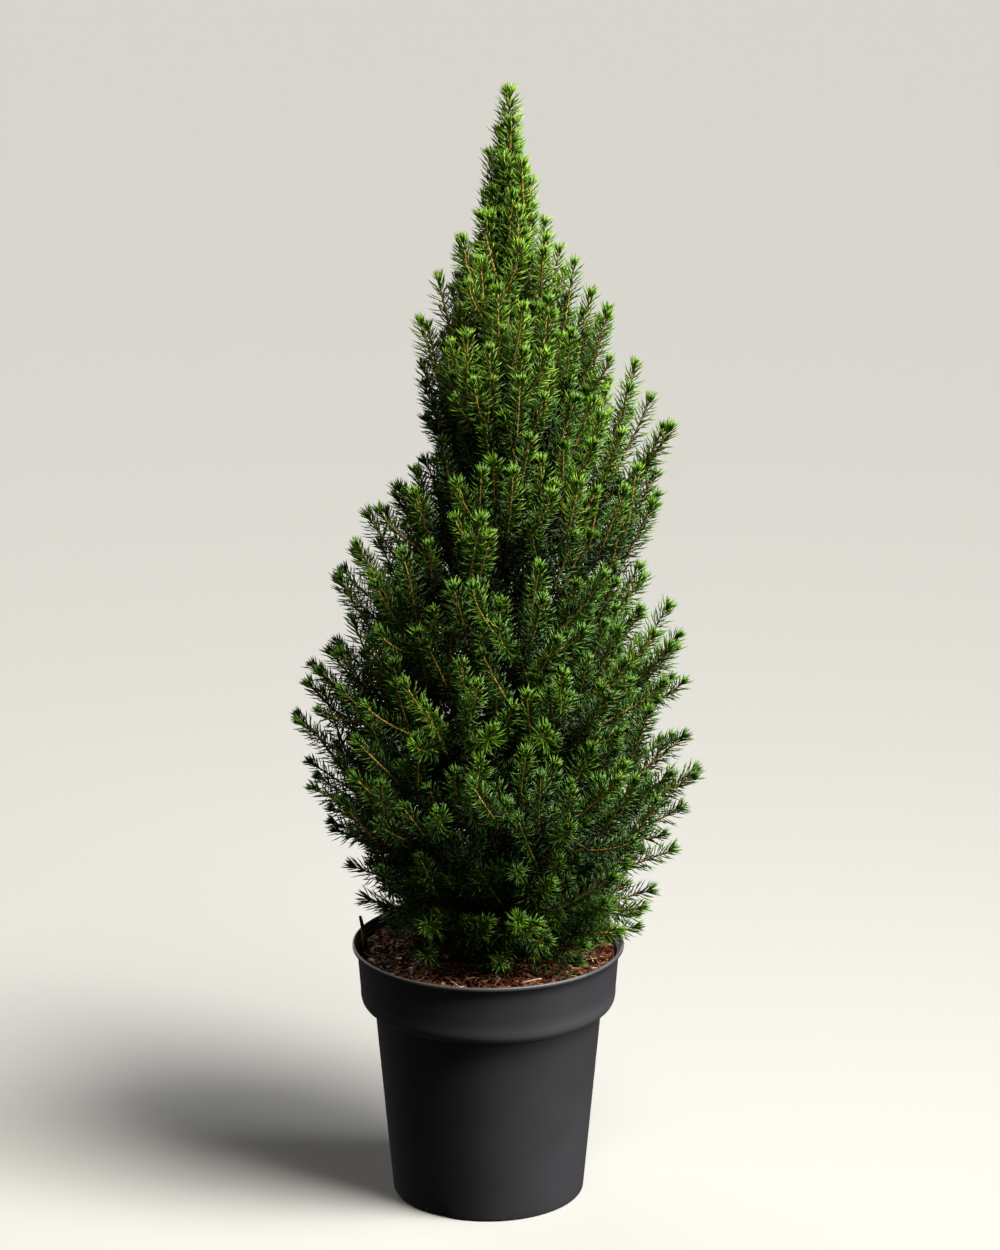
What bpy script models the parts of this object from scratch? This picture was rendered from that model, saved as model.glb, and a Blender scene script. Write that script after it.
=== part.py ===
"""A young dwarf white spruce growing in a round nursery pot.

The plant stands upright on the pot's flat underside. The trunk runs through the crown, boughs
sweep out and up from it in tiers, and each mass of foliage keeps to its own wedge of the crown:
between two cones round the trunk, and between two upright planes through it.
Metres, +Z up, origin at the centre of the pot's underside, and the photographed side faces -Y.
"""

import math
import random

import bmesh
import bpy
import numpy as np
from mathutils import Vector, noise

SEED = 11
GAP = 0.0003

# Pot
POT_HEIGHT = 0.183
POT_BASE_RADIUS = 0.0676
POT_BODY_TOP_RADIUS = 0.0798
COLLAR_BOTTOM = 0.1387
COLLAR_BOTTOM_RADIUS = 0.0895
COLLAR_TOP_RADIUS = 0.0918
SHOULDER_TOP = 0.1507
SHOULDER_POINTS = 4
LIP_RADIUS = 0.095
LIP_HEIGHT = 0.0028
LIP_ROUND = 0.0008
POT_WALL = 0.0018
POT_FLOOR = 0.0022
POT_STEPS = 32
FOOT_BEVEL = 0.0016

# Bark mulch and potting soil, as one plug
SOIL_TOP = 0.1765
SOIL_RELIEF = 0.0022
SOIL_GRAIN = 60.0
SOIL_EDGE = 0.002
SOIL_SEAT_RADIUS = 0.018
SOIL_RINGS = 3
SOIL_STEPS = 20

# Trunk
TRUNK_BASE = SOIL_TOP + GAP
TRUNK_TIP = 0.704
TRUNK_BASE_RADIUS = 0.0082
TRUNK_TIP_RADIUS = 0.0018
ROOT_FLARE = 0.0050
ROOT_FLARE_HEIGHT = 0.011
TRUNK_LEAN = 0.0124
LEAN_CURVE = 1.3
TRUNK_SWAY = 0.0015
TRUNK_POINTS = 16
TRUNK_CROWDING = 1.5

# Crown outline: height, reach to the left of the trunk, reach to the right of it
OUTLINE = (
    (0.176, 0.062, 0.080),
    (0.200, 0.080, 0.111),
    (0.242, 0.102, 0.131),
    (0.285, 0.117, 0.143),
    (0.313, 0.132, 0.147),
    (0.345, 0.138, 0.139),
    (0.376, 0.133, 0.131),
    (0.407, 0.115, 0.131),
    (0.450, 0.109, 0.106),
    (0.474, 0.100, 0.094),
    (0.497, 0.091, 0.104),
    (0.514, 0.074, 0.112),
    (0.535, 0.056, 0.115),
    (0.560, 0.052, 0.113),
    (0.600, 0.055, 0.092),
    (0.634, 0.057, 0.074),
    (0.662, 0.044, 0.049),
    (0.688, 0.028, 0.031),
    (0.706, 0.016, 0.021),
    (0.745, 0.010, 0.011),
    (0.783, 0.008, 0.008),
)
TREE_TOP = 0.783

# Tiers of masses. Each lies between two cones that leave the trunk at a launch height and rise
# outwards at an angle; each is split into equal sectors, the first centred on its bearing.
CONES = (
    (0.186, 0.0),
    (0.212, 19.0),
    (0.254, 37.0),
    (0.300, 47.0),
    (0.360, 56.0),
    (0.430, 63.0),
    (0.515, 69.0),
    (0.605, 75.0),
    (0.680, 81.0),
    (0.900, 85.0),
)
TIERS = (
    # name, sectors, bearing of the first in degrees, shoots in each, reach of its bough
    ("skirt", 5, 4.0, 4, 0.030),
    ("lower", 6, -7.0, 5, 0.036),
    ("broad", 6, 8.0, 6, 0.030),
    ("middle", 5, 0.0, 6, 0.0),
    ("upper", 4, 6.0, 6, 0.0),
    ("shoulder", 4, -8.0, 5, 0.0),
    ("spire", 3, 3.0, 4, 0.0),
    ("crest", 2, 0.0, 3, 0.0),
)

# Limbs
BOUGH_BASE_RADIUS = 0.0034
BOUGH_TIP_RADIUS = 0.0024
BOUGH_POINTS = 4
STEM_RADIUS = 0.0022
TWIG_RADIUS = 0.0012
FORK_ANGLE = 42.0
FORK_LIMIT = 0.55
SPREAD_ACROSS = 0.40
SPREAD_UP = 0.33
REACH_SHARES = (0.93, 1.05)
UPTURN = 9.0

# Needled shoots
BRUSH_LENGTH = 0.040
BRUSH_ROWS = 2
LEADER_ROWS = 5
LEADER_FOOT = 0.08
BRUSH_RADIUS = 0.0048
BRUSH_END_RADIUS = 0.0026
MOST_BRUSH = 0.8
NEEDLE_OUT = 0.0078
NEEDLE_FORWARD = 0.0065
NEEDLE_SHARES = (1.0, 0.7, 0.4, 0.1)
TUFT = 0.0085
TWIST = 55.0
SIDE_TURN = 0.7
SPACE_MARGIN = 0.00015
WELD = 0.000002
MOST_TRIES = 6
LINE_POINTS = 40

# Dense heart of each mass: shares of the way out, and how much of the space it fills there
CORE_RINGS = ((0.0, 0.55), (0.5, 0.88), (0.9, 0.86), (1.0, 0.5))
CORE_SIDES = 7
CORE_LUMPS = 0.06
CORE_INSET = 0.004
CORE_DEPTH = 0.044
WIDEST_CORE = 0.9

COLOURS = {
    "pot_plastic": ((0.055, 0.056, 0.060), 0.5),
    "mulch": ((0.16, 0.06, 0.03), 0.9),
    "bark": ((0.17, 0.10, 0.055), 0.85),
    "foliage": ((0.045, 0.14, 0.03), 0.6),
}


def material(name):
    """The named material, made on first use."""
    found = bpy.data.materials.get(name)
    if found:
        return found
    colour, roughness = COLOURS[name]
    made = bpy.data.materials.new(name)
    made.use_nodes = True
    shader = made.node_tree.nodes["Principled BSDF"]
    shader.inputs["Base Color"].default_value = (*colour, 1.0)
    shader.inputs["Roughness"].default_value = roughness
    shader.inputs["Metallic"].default_value = 0.0
    return made


def collection(name):
    made = bpy.data.collections.new(name)
    bpy.context.scene.collection.children.link(made)
    return made


def between(low, high, share):
    return low + (high - low) * share


def trunk_axis(height):
    """Centre of the trunk at a height: it leans a little to the right and sways."""
    share = (height - TRUNK_BASE) / (TRUNK_TIP - TRUNK_BASE)
    lean = TRUNK_LEAN * max(share, 0.0) ** LEAN_CURVE
    return Vector((lean, TRUNK_SWAY * math.sin(2 * math.pi * share), height))


def trunk_radius(height):
    share = (height - TRUNK_BASE) / (TRUNK_TIP - TRUNK_BASE)
    flare = ROOT_FLARE * math.exp(-(height - TRUNK_BASE) / ROOT_FLARE_HEIGHT)
    return between(TRUNK_BASE_RADIUS, TRUNK_TIP_RADIUS, share) + flare


def crown_reach(height, bearing):
    """How far the crown reaches from the trunk at a height, towards a bearing in radians."""
    heights, lefts, rights = zip(*OUTLINE)
    left, right = np.interp(height, heights, lefts), np.interp(height, heights, rights)
    return between(left, right, (1 + math.cos(bearing)) / 2)


def cone_height(tier, level, radius):
    """Height at a radius, at a level from 0 to 1 between the tier's two cones."""
    low, high = CONES[tier], CONES[tier + 1]
    low_z = low[0] + radius * math.tan(math.radians(low[1]))
    high_z = high[0] + radius * math.tan(math.radians(high[1]))
    return between(low_z, high_z, level)


def crown_point(tier, level, bearing, radius):
    height = cone_height(tier, level, radius)
    out = Vector((math.cos(bearing), math.sin(bearing), 0))
    return trunk_axis(height) + out * radius


def reach_along(tier, level, bearing):
    """Radius at which a line up the tier meets the crown's outline."""
    low, high = 0.0, 0.2
    for _ in range(30):
        middle = (low + high) / 2
        inside = middle < crown_reach(cone_height(tier, level, middle), bearing)
        low, high = (middle, high) if inside else (low, middle)
    return low


def room_in_cell(cell, point):
    """Distance from a point to the nearest wall of its mass's own space, below 0 outside it.

    A mass that goes all the way round has no side walls, and no trunk in it.
    """
    tier, bearing, half_width = cell
    off = point - trunk_axis(point.z)
    radius = math.hypot(off.x, off.y)
    turn = math.atan2(off.y, off.x) - bearing
    turn = (turn + math.pi) % (2 * math.pi) - math.pi
    low_angle, high_angle = (math.radians(CONES[tier + side][1]) for side in (0, 1))
    walls = [
        (point.z - cone_height(tier, 0, radius)) * math.cos(low_angle),
        (cone_height(tier, 1, radius) - point.z) * math.cos(high_angle),
    ]
    if half_width < math.pi:
        past_wall = min(max(half_width - abs(turn), -math.pi / 2), math.pi / 2)
        walls += [radius * math.sin(past_wall), radius - trunk_radius(min(point.z, TRUNK_TIP))]
    return min(walls)


def bend(start, leave, end, arrive, count):
    """Points along a curve that leaves start in one direction and arrives at end in another."""
    third = (end - start).length / 3
    pulls = (start, start + leave * third, end - arrive * third, end)
    points = []
    for i in range(count):
        t = i / (count - 1)
        weights = ((1 - t) ** 3, 3 * t * (1 - t) ** 2, 3 * t**2 * (1 - t), t**3)
        points.append(sum((pull * w for pull, w in zip(pulls, weights)), Vector()))
    return points


def limb(name, points, radii, sides, tilts=None):
    """A curve object: a tapering limb with flat ends. sides is a bevel resolution or a section."""
    data = bpy.data.curves.new(name, "CURVE")
    data.dimensions = "3D"
    data.use_fill_caps = True
    if isinstance(sides, int):
        data.bevel_depth = 1.0
        data.bevel_resolution = sides
    else:
        data.bevel_mode = "OBJECT"
        data.bevel_object = sides
    spline = data.splines.new("POLY")
    spline.points.add(len(points) - 1)
    for i, (point, radius) in enumerate(zip(points, radii)):
        spline.points[i].co = (*point, 1.0)
        spline.points[i].radius = radius
        spline.points[i].tilt = tilts[i] if tilts else 0.0
    return bpy.data.objects.new(name, data)


def as_mesh(curve, home):
    """The curve object as a mesh object with its caps welded; the curve is removed."""
    home.objects.link(curve)
    bpy.context.view_layer.update()
    graph = bpy.context.evaluated_depsgraph_get()
    mesh = bpy.data.meshes.new_from_object(curve.evaluated_get(graph))
    made = bpy.data.objects.new("mesh_" + curve.name, mesh)
    made.matrix_world = curve.matrix_world
    home.objects.link(made)
    name = curve.name
    bpy.data.objects.remove(curve)
    made.name = name
    shape = bmesh.new()
    shape.from_mesh(mesh)
    bmesh.ops.remove_doubles(shape, verts=shape.verts, dist=WELD)
    bmesh.ops.recalc_face_normals(shape, faces=shape.faces)
    shape.to_mesh(mesh)
    shape.free()
    return made


def nearest_on(path, point):
    """(centre, direction) of the place on a path that is nearest to a point."""
    best = None
    for a, b in zip(path, path[1:]):
        run = b - a
        share = min(max((point - a).dot(run) / run.length_squared, 0.0), 1.0)
        centre = a + run * share
        if best is None or (point - centre).length < best[0]:
            best = ((point - centre).length, centre, run.normalized())
    return best[1], best[2]


def grow_needles(obj, path, brush_path, cell):
    """Draws each face of the shoot's needled part out to a point, as far as its space allows."""
    shape = bmesh.new()
    shape.from_mesh(obj.data)
    bmesh.ops.triangulate(shape, faces=shape.faces)
    start, heading = brush_path[0], (brush_path[1] - brush_path[0]).normalized()
    faces = [f for f in shape.faces if (f.calc_center_median() - start).dot(heading) > 0]
    tip, end_heading = path[-1], (path[-1] - path[-2]).normalized()
    for vertex in bmesh.ops.poke(shape, faces=faces)["verts"]:
        root = vertex.co.copy()
        centre, forward = nearest_on(brush_path, root)
        out = root - centre
        out = (out - forward * out.dot(forward)).normalized()
        reach = out * NEEDLE_OUT + forward * NEEDLE_FORWARD
        if (root - tip).dot(end_heading) > -WELD:
            reach = end_heading * TUFT + (root - tip)
        for share in NEEDLE_SHARES:
            vertex.co = root + reach * share
            if room_in_cell(cell, vertex.co) > SPACE_MARGIN:
                break
    shape.to_mesh(obj.data)
    shape.free()


def fits(path, radii, cell):
    """Whether a limb of these radii stays in its mass's space all along."""
    return all(
        room_in_cell(cell, point) > radius + SPACE_MARGIN
        for point, radius in zip(path, radii)
    )


def shoot_path(start, leave, tip, heading, bare):
    """Points of a shoot: those of its bare foot, then one for each row of needles to its tip."""
    line = bend(start, leave, tip, heading, LINE_POINTS)
    brush = min(BRUSH_LENGTH / (tip - start).length, MOST_BRUSH)
    stops = [share * (1 - brush) for share in bare]
    stops += [1 - brush * (1 - i / BRUSH_ROWS) for i in range(BRUSH_ROWS + 1)]
    return [line[round(stop * (LINE_POINTS - 1))] for stop in stops]


def brush_radius(share):
    """Radius of a shoot under its needles, from their first row at 0 to the tip at 1."""
    return between(BRUSH_END_RADIUS, BRUSH_RADIUS, math.sin(math.pi * share))


def shoot(name, path, foot_radius, cell, section, home, turn):
    """One needled shoot as a closed mesh object, or None where it would leave its space."""
    bare = len(path) - BRUSH_ROWS - 1
    radii = [between(foot_radius, TWIG_RADIUS, i / bare) for i in range(bare)]
    radii += [brush_radius(i / BRUSH_ROWS) for i in range(BRUSH_ROWS + 1)]
    if not fits(path[1:], radii[1:], cell):
        return None
    tilts = [turn + math.radians(TWIST) * i for i in range(len(path))]
    made = as_mesh(limb(name, path, radii, section, tilts), home)
    grow_needles(made, path, path[bare:], cell)
    return made


def spread(count, rng):
    """Places for the side shoots round the middle of a mass: (across, up), each -0.5 to 0.5."""
    start = rng.uniform(0, 2 * math.pi)
    angles = [start + 2 * math.pi * i / count for i in range(count)]
    return [(SPREAD_ACROSS * math.cos(a), SPREAD_UP * math.sin(a)) for a in angles]


def fuse(target, tools):
    """Joins a collection's objects to the target, and removes them. Returns whether it worked."""
    union = target.modifiers.new("union", "BOOLEAN")
    union.operation = "UNION"
    union.operand_type = "COLLECTION"
    union.collection = tools
    union.solver = "MANIFOLD"
    bpy.context.view_layer.update()
    graph = bpy.context.evaluated_depsgraph_get()
    joined = bpy.data.meshes.new_from_object(target.evaluated_get(graph))
    target.modifiers.clear()
    target.data = joined
    for tool in list(tools.objects):
        bpy.data.objects.remove(tool)
    bpy.data.collections.remove(tools)
    return keep_largest_shell(target)


def keep_largest_shell(obj):
    """Drops loose scraps and fills hollows that the union sealed: only the largest shell stays.

    Returns whether that is one closed surface, with two faces on every edge.
    """
    shape = bmesh.new()
    shape.from_mesh(obj.data)
    bmesh.ops.remove_doubles(shape, verts=shape.verts, dist=WELD)
    bmesh.ops.dissolve_degenerate(shape, edges=shape.edges, dist=WELD)
    left = set(shape.faces)
    shells = []
    while left:
        shell, ahead = [], [left.pop()]
        while ahead:
            face = ahead.pop()
            shell.append(face)
            for edge in face.edges:
                beside = [other for other in edge.link_faces if other in left]
                left.difference_update(beside)
                ahead.extend(beside)
        shells.append(shell)
    shells.sort(key=len)
    for shell in shells[:-1]:
        bmesh.ops.delete(shape, geom=shell, context="FACES")
    sound = all(len(edge.link_faces) == 2 for edge in shape.edges)
    shape.to_mesh(obj.data)
    shape.free()
    return sound


def turned(name, profile, steps, home):
    """A turned solid from a profile that starts and ends on the axis."""
    mesh = bpy.data.meshes.new(name)
    edges = [(i, i + 1) for i in range(len(profile) - 1)]
    mesh.from_pydata([(r, 0, z) for r, z in profile], edges, [])
    made = bpy.data.objects.new(name, mesh)
    home.objects.link(made)
    screw = made.modifiers.new("screw", "SCREW")
    screw.steps = screw.render_steps = steps
    screw.use_merge_vertices = True
    screw.merge_threshold = 0.0001
    screw.use_smooth_shade = True
    return made


def make_pot(home):
    """The pot: a flat underside, a tapering wall, a stepped-out collar and a turned-out lip."""
    lip_bottom = POT_HEIGHT - LIP_HEIGHT
    profile = [
        (0, POT_FLOOR),
        (POT_BASE_RADIUS - POT_WALL, POT_FLOOR),
        (POT_BODY_TOP_RADIUS - POT_WALL, COLLAR_BOTTOM + POT_WALL),
        (COLLAR_BOTTOM_RADIUS - POT_WALL, SHOULDER_TOP),
        (COLLAR_TOP_RADIUS - POT_WALL, POT_HEIGHT),
        (LIP_RADIUS - LIP_ROUND, POT_HEIGHT),
        (LIP_RADIUS, POT_HEIGHT - LIP_ROUND),
        (LIP_RADIUS, lip_bottom),
        (COLLAR_TOP_RADIUS, lip_bottom - LIP_ROUND),
    ]
    # The collar's lower edge turns in to the body in a quarter of an ellipse.
    for i in range(SHOULDER_POINTS + 1):
        angle = math.pi / 2 * i / SHOULDER_POINTS
        radius = between(POT_BODY_TOP_RADIUS, COLLAR_BOTTOM_RADIUS, math.cos(angle))
        profile.append((radius, between(SHOULDER_TOP, COLLAR_BOTTOM, math.sin(angle))))
    profile += [
        (POT_BASE_RADIUS, FOOT_BEVEL),
        (POT_BASE_RADIUS - FOOT_BEVEL, 0),
        (0, 0),
    ]
    made = turned("pot", profile, POT_STEPS, home)
    made.data.materials.append(material("pot_plastic"))


def make_soil(home):
    """The filling: soil under coarse bark mulch, level under the trunk and rough elsewhere."""
    # A facet of the pot lies inside its circle, so the soil keeps that much further in.
    facet = math.cos(math.pi / POT_STEPS)
    wall = POT_WALL + GAP
    up_collar = (SOIL_TOP - SHOULDER_TOP) / (POT_HEIGHT - SHOULDER_TOP)
    top_radius = between(COLLAR_BOTTOM_RADIUS, COLLAR_TOP_RADIUS, up_collar) - wall
    profile = [(0, SOIL_TOP)]
    for i in range(SOIL_RINGS + 1):
        profile.append((between(SOIL_SEAT_RADIUS, top_radius - SOIL_EDGE, i / SOIL_RINGS), SOIL_TOP))
    profile += [
        (top_radius * facet, SOIL_TOP - SOIL_EDGE),
        ((COLLAR_BOTTOM_RADIUS - wall) * facet, SHOULDER_TOP + GAP),
        ((POT_BODY_TOP_RADIUS - wall) * facet, COLLAR_BOTTOM + wall),
        ((POT_BASE_RADIUS - wall) * facet, POT_FLOOR + GAP),
        (0, POT_FLOOR + GAP),
    ]
    made = turned("soil", profile, SOIL_STEPS, home)
    bpy.context.view_layer.update()
    graph = bpy.context.evaluated_depsgraph_get()
    made.data = bpy.data.meshes.new_from_object(made.evaluated_get(graph))
    made.modifiers.clear()
    for vertex in made.data.vertices:
        radius = math.hypot(vertex.co.x, vertex.co.y)
        if vertex.co.z > SOIL_TOP - WELD and radius > SOIL_SEAT_RADIUS + GAP:
            vertex.co.z += SOIL_RELIEF * noise.noise(vertex.co * SOIL_GRAIN)
    made.data.materials.append(material("mulch"))


def make_trunk(home):
    """The trunk: a flat cut on the soil, a root flare, and one taper up to its tip."""
    heights = [
        between(TRUNK_BASE, TRUNK_TIP, (i / (TRUNK_POINTS - 1)) ** TRUNK_CROWDING)
        for i in range(TRUNK_POINTS)
    ]
    points = [trunk_axis(z) for z in heights]
    made = limb("trunk", points, [trunk_radius(z) for z in heights], 2)
    home.objects.link(made)
    made.data.materials.append(material("bark"))


def leave_trunk(tier, bearing, radius):
    """(start, direction) of a limb of some radius whose flat end just clears the trunk."""
    leave = heading_at(tier, 0.5, bearing, -UPTURN)
    clear = trunk_radius(cone_height(tier, 0.5, 0.0)) + GAP + radius * leave.z
    return crown_point(tier, 0.5, bearing, clear), leave


def make_bough(name, tier, bearing, reach, home):
    """One tapering limb; returns where it ends and where it points."""
    start, leave = leave_trunk(tier, bearing, BOUGH_BASE_RADIUS)
    end = crown_point(tier, 0.5, bearing, reach)
    path = bend(start, leave, end, heading_at(tier, 0.5, bearing, 0), BOUGH_POINTS)
    radii = [
        between(BOUGH_BASE_RADIUS, BOUGH_TIP_RADIUS, i / (BOUGH_POINTS - 1))
        for i in range(BOUGH_POINTS)
    ]
    made = limb(name, path, radii, 1)
    home.objects.link(made)
    made.data.materials.append(material("bark"))
    return path[-1], (path[-1] - path[-2]).normalized()


def heading_at(tier, level, bearing, upturn):
    """Direction outwards and up between the tier's cones, turned up by some degrees more."""
    low, high = CONES[tier][1], CONES[tier + 1][1]
    rise = math.radians(between(low, high, level) + upturn)
    return Vector((math.cos(bearing) * math.cos(rise), math.sin(bearing) * math.cos(rise), math.sin(rise)))


def core(name, cell, home):
    """The dense heart of a mass: a lumpy wedge that fills the middle of its space."""
    tier, bearing, half_width = cell
    inner = trunk_radius(cone_height(tier, 0.5, 0.0)) + CORE_INSET + TIERS[tier][4]
    depth = CORE_DEPTH * heading_at(tier, 0.5, 0.0, 0).x
    shape = bmesh.new()
    rings = []
    for i, (share, fill) in enumerate(CORE_RINGS):
        ring = []
        for k in range(CORE_SIDES):
            angle = 2 * math.pi * (k + i / 2) / CORE_SIDES
            lump = fill * (1 + CORE_LUMPS * math.sin(3 * angle + 3 * i + bearing * 7))
            level = 0.5 + 0.5 * lump * math.sin(angle)
            turn = bearing + half_width * lump * math.cos(angle)
            outer = max(reach_along(tier, level, turn) - depth, inner)
            ring.append(shape.verts.new(crown_point(tier, level, turn, between(inner, outer, share))))
        rings.append(ring)
    for ring, after in zip(rings, rings[1:]):
        for k in range(CORE_SIDES):
            shape.faces.new((ring[k], ring[(k + 1) % CORE_SIDES], after[k]))
            shape.faces.new((ring[(k + 1) % CORE_SIDES], after[(k + 1) % CORE_SIDES], after[k]))
    shape.faces.new(rings[0])
    shape.faces.new(rings[-1])
    bmesh.ops.triangulate(shape, faces=[f for f in shape.faces if len(f.verts) > 3])
    bmesh.ops.recalc_face_normals(shape, faces=shape.faces)
    mesh = bpy.data.meshes.new(name)
    shape.to_mesh(mesh)
    shape.free()
    home.objects.link(bpy.data.objects.new(name, mesh))


def shoot_paths(cell, start, leave, shoots, rng):
    """Centre lines of a mass: its stem's, then one for each side shoot that forks off it."""
    tier, bearing, half_width = cell
    heading = heading_at(tier, 0.5, bearing, UPTURN)
    tip = crown_point(tier, 0.5, bearing, reach_along(tier, 0.5, bearing)) - heading * TUFT
    stem_line = bend(start, leave, tip, heading, LINE_POINTS)
    paths = [shoot_path(start, leave, tip, heading, (0.0, 0.5))]
    for across, up in spread(shoots - 1, rng):
        level = 0.5 + up
        turn = bearing + 2 * half_width * across
        side_heading = heading_at(tier, level, turn, UPTURN)
        side_reach = reach_along(tier, level, turn) * rng.uniform(*REACH_SHARES)
        side_tip = crown_point(tier, level, turn, side_reach) - side_heading * TUFT
        fork = min(
            stem_line[1 : round(LINE_POINTS * FORK_LIMIT)],
            key=lambda point: abs((side_tip - point).angle(heading) - math.radians(FORK_ANGLE)),
        )
        side_leave = (side_tip - fork).normalized()
        paths.append(shoot_path(fork, side_leave, side_tip, side_heading, (0.0,)))
    return paths


def make_mass(name, cell, foot, shoots, section, home, rng):
    """A mass of foliage: a stem ending in a shoot, with side shoots forking off it.

    foot is where the stem starts, where it heads there, and its radius.
    """
    start, leave, foot_radius = foot
    paths = shoot_paths(cell, start, leave, shoots, rng)
    for attempt in range(MOST_TRIES):
        stem = shoot(name, paths[0], foot_radius, cell, section, home, attempt)
        parts = collection(name + "_parts")
        # Every second try that leaves no sound solid costs the mass a shoot.
        for i, path in enumerate(paths[1 : len(paths) - attempt // 2]):
            turn = attempt + (i + 1) * SIDE_TURN
            shoot(f"{name}_side_{i}", path, TWIG_RADIUS, cell, section, parts, turn)
        if cell[2] < WIDEST_CORE:
            core(name + "_core", cell, parts)
        if fuse(stem, parts):
            break
        bpy.data.objects.remove(stem)
    stem.data.materials.clear()
    stem.data.materials.append(material("foliage"))


def make_leader(section, home):
    """The topmost shoot, which carries on from the trunk's tip to the top of the tree."""
    start = trunk_axis(TRUNK_TIP) + Vector((0, 0, GAP))
    tip = trunk_axis(TREE_TOP - TUFT)
    path = [start, between(start, tip, LEADER_FOOT / 2)]
    radii = [TRUNK_TIP_RADIUS] * 2
    for i in range(LEADER_ROWS + 1):
        path.append(between(start, tip, between(LEADER_FOOT, 1.0, i / LEADER_ROWS)))
        radii.append(brush_radius(i / LEADER_ROWS))
    tilts = [math.radians(TWIST) * i for i in range(len(path))]
    made = as_mesh(limb("leader", path, radii, section, tilts), home)
    above_the_tiers = (len(TIERS), 0.0, math.pi)
    grow_needles(made, path, path[2:], above_the_tiers)
    made.data.materials.append(material("foliage"))


def triangle_section(home):
    """Three-sided section of unit size for shoots; a guide, not a part."""
    data = bpy.data.curves.new("shoot_section", "CURVE")
    spline = data.splines.new("POLY")
    spline.points.add(2)
    for i in range(3):
        angle = 2 * math.pi * i / 3
        spline.points[i].co = (math.cos(angle), math.sin(angle), 0, 1)
    spline.use_cyclic_u = True
    made = bpy.data.objects.new("shoot_section", data)
    made.hide_render = True
    made.display_type = "WIRE"
    home.objects.link(made)
    return made


def make_crown(section, home):
    rng = random.Random(SEED)
    for tier, (name, sectors, first, shoots, reach) in enumerate(TIERS):
        for i in range(sectors):
            bearing = math.radians(first + 360 / sectors * i)
            cell = (tier, bearing, math.pi / sectors)
            label = f"{name}_{i + 1}"
            if reach:
                end, leave = make_bough("bough_" + label, tier, bearing, reach, home)
                foot = (end + leave * GAP, leave, STEM_RADIUS)
            else:
                foot = (*leave_trunk(tier, bearing, TWIG_RADIUS), TWIG_RADIUS)
            make_mass("foliage_" + label, cell, foot, shoots, section, home, rng)


def main():
    for obj in list(bpy.data.objects):
        bpy.data.objects.remove(obj)
    home = collection("potted_white_spruce")
    guides = collection("guides")
    section = triangle_section(guides)
    make_pot(home)
    make_soil(home)
    make_trunk(home)
    make_crown(section, home)
    make_leader(section, home)


main()
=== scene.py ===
"""Looks of the potted white spruce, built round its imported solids.

Twigs and needles grow by the same rule as the solids: tiers between cones round a leaning trunk,
each tier split into sectors, one stem to a sector, and shoots that fork off it. The rule is
carried on here to many more shoots within the same reach, each with all its needles.
Metres, +Z up, origin at the centre of the pot's underside, photographed side towards -Y.
"""

import math
import random

import bpy
import numpy as np
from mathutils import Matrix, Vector, noise


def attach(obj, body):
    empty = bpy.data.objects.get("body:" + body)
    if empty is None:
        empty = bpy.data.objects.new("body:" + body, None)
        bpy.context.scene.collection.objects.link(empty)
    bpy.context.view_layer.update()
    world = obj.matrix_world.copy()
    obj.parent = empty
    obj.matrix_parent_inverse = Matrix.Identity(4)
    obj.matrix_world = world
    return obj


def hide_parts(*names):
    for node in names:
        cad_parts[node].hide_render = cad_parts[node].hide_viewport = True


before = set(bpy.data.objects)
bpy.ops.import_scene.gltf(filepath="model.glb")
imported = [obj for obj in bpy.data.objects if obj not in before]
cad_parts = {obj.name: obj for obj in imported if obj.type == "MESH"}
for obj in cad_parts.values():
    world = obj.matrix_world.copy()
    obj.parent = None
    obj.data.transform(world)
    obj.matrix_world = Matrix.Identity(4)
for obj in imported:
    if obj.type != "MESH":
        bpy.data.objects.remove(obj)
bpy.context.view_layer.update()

SEED = 11
GAP = 0.0003
UP = np.array((0.0, 0.0, 1.0))

# Camera, as fitted to the photograph
CAMERA_PLACE = (0.00827, -2.4517, 1.0725)
CAMERA_PITCH = 15.08
SENSOR_MM = 36.0
LENS_MM = 106.88
CLIP = (0.05, 60.0)

# Studio: wide suns, one softbox, and a backdrop as pale as the floor looks in their light
SUNS = (
    # name, strength, apparent width in degrees, direction, colour
    ("softbox_above", 4.5, 26.0, (-0.52, 0.30, -0.80), (1.0, 0.975, 0.875)),
    ("softbox_right", 3.15, 24.0, (-0.95, 0.16, -0.28), (0.98, 0.985, 1.0)),
    ("fill_behind", 1.3, 60.0, (0.55, -0.76, -0.36), (1.0, 0.98, 0.92)),
)
TOP_LIGHT_PLACE = (0.42, -0.44, 1.36)
TOP_LIGHT_AIM = (0.0, 0.0, 0.6)
TOP_LIGHT_SIZE = 0.5
TOP_LIGHT_WATTS = 19.0
TOP_LIGHT_COLOUR = (1.0, 0.98, 0.89)
FLOOR_RADIUS = 16.0
FLOOR_DARK, FLOOR_LIGHT = (0.418, 0.414, 0.412), (0.432, 0.428, 0.426)
BACKDROP = (0.687, 0.666, 0.610, 1.0)
AMBIENT, AMBIENT_STRENGTH = (1.0, 0.99, 0.95, 1.0), 0.040

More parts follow.
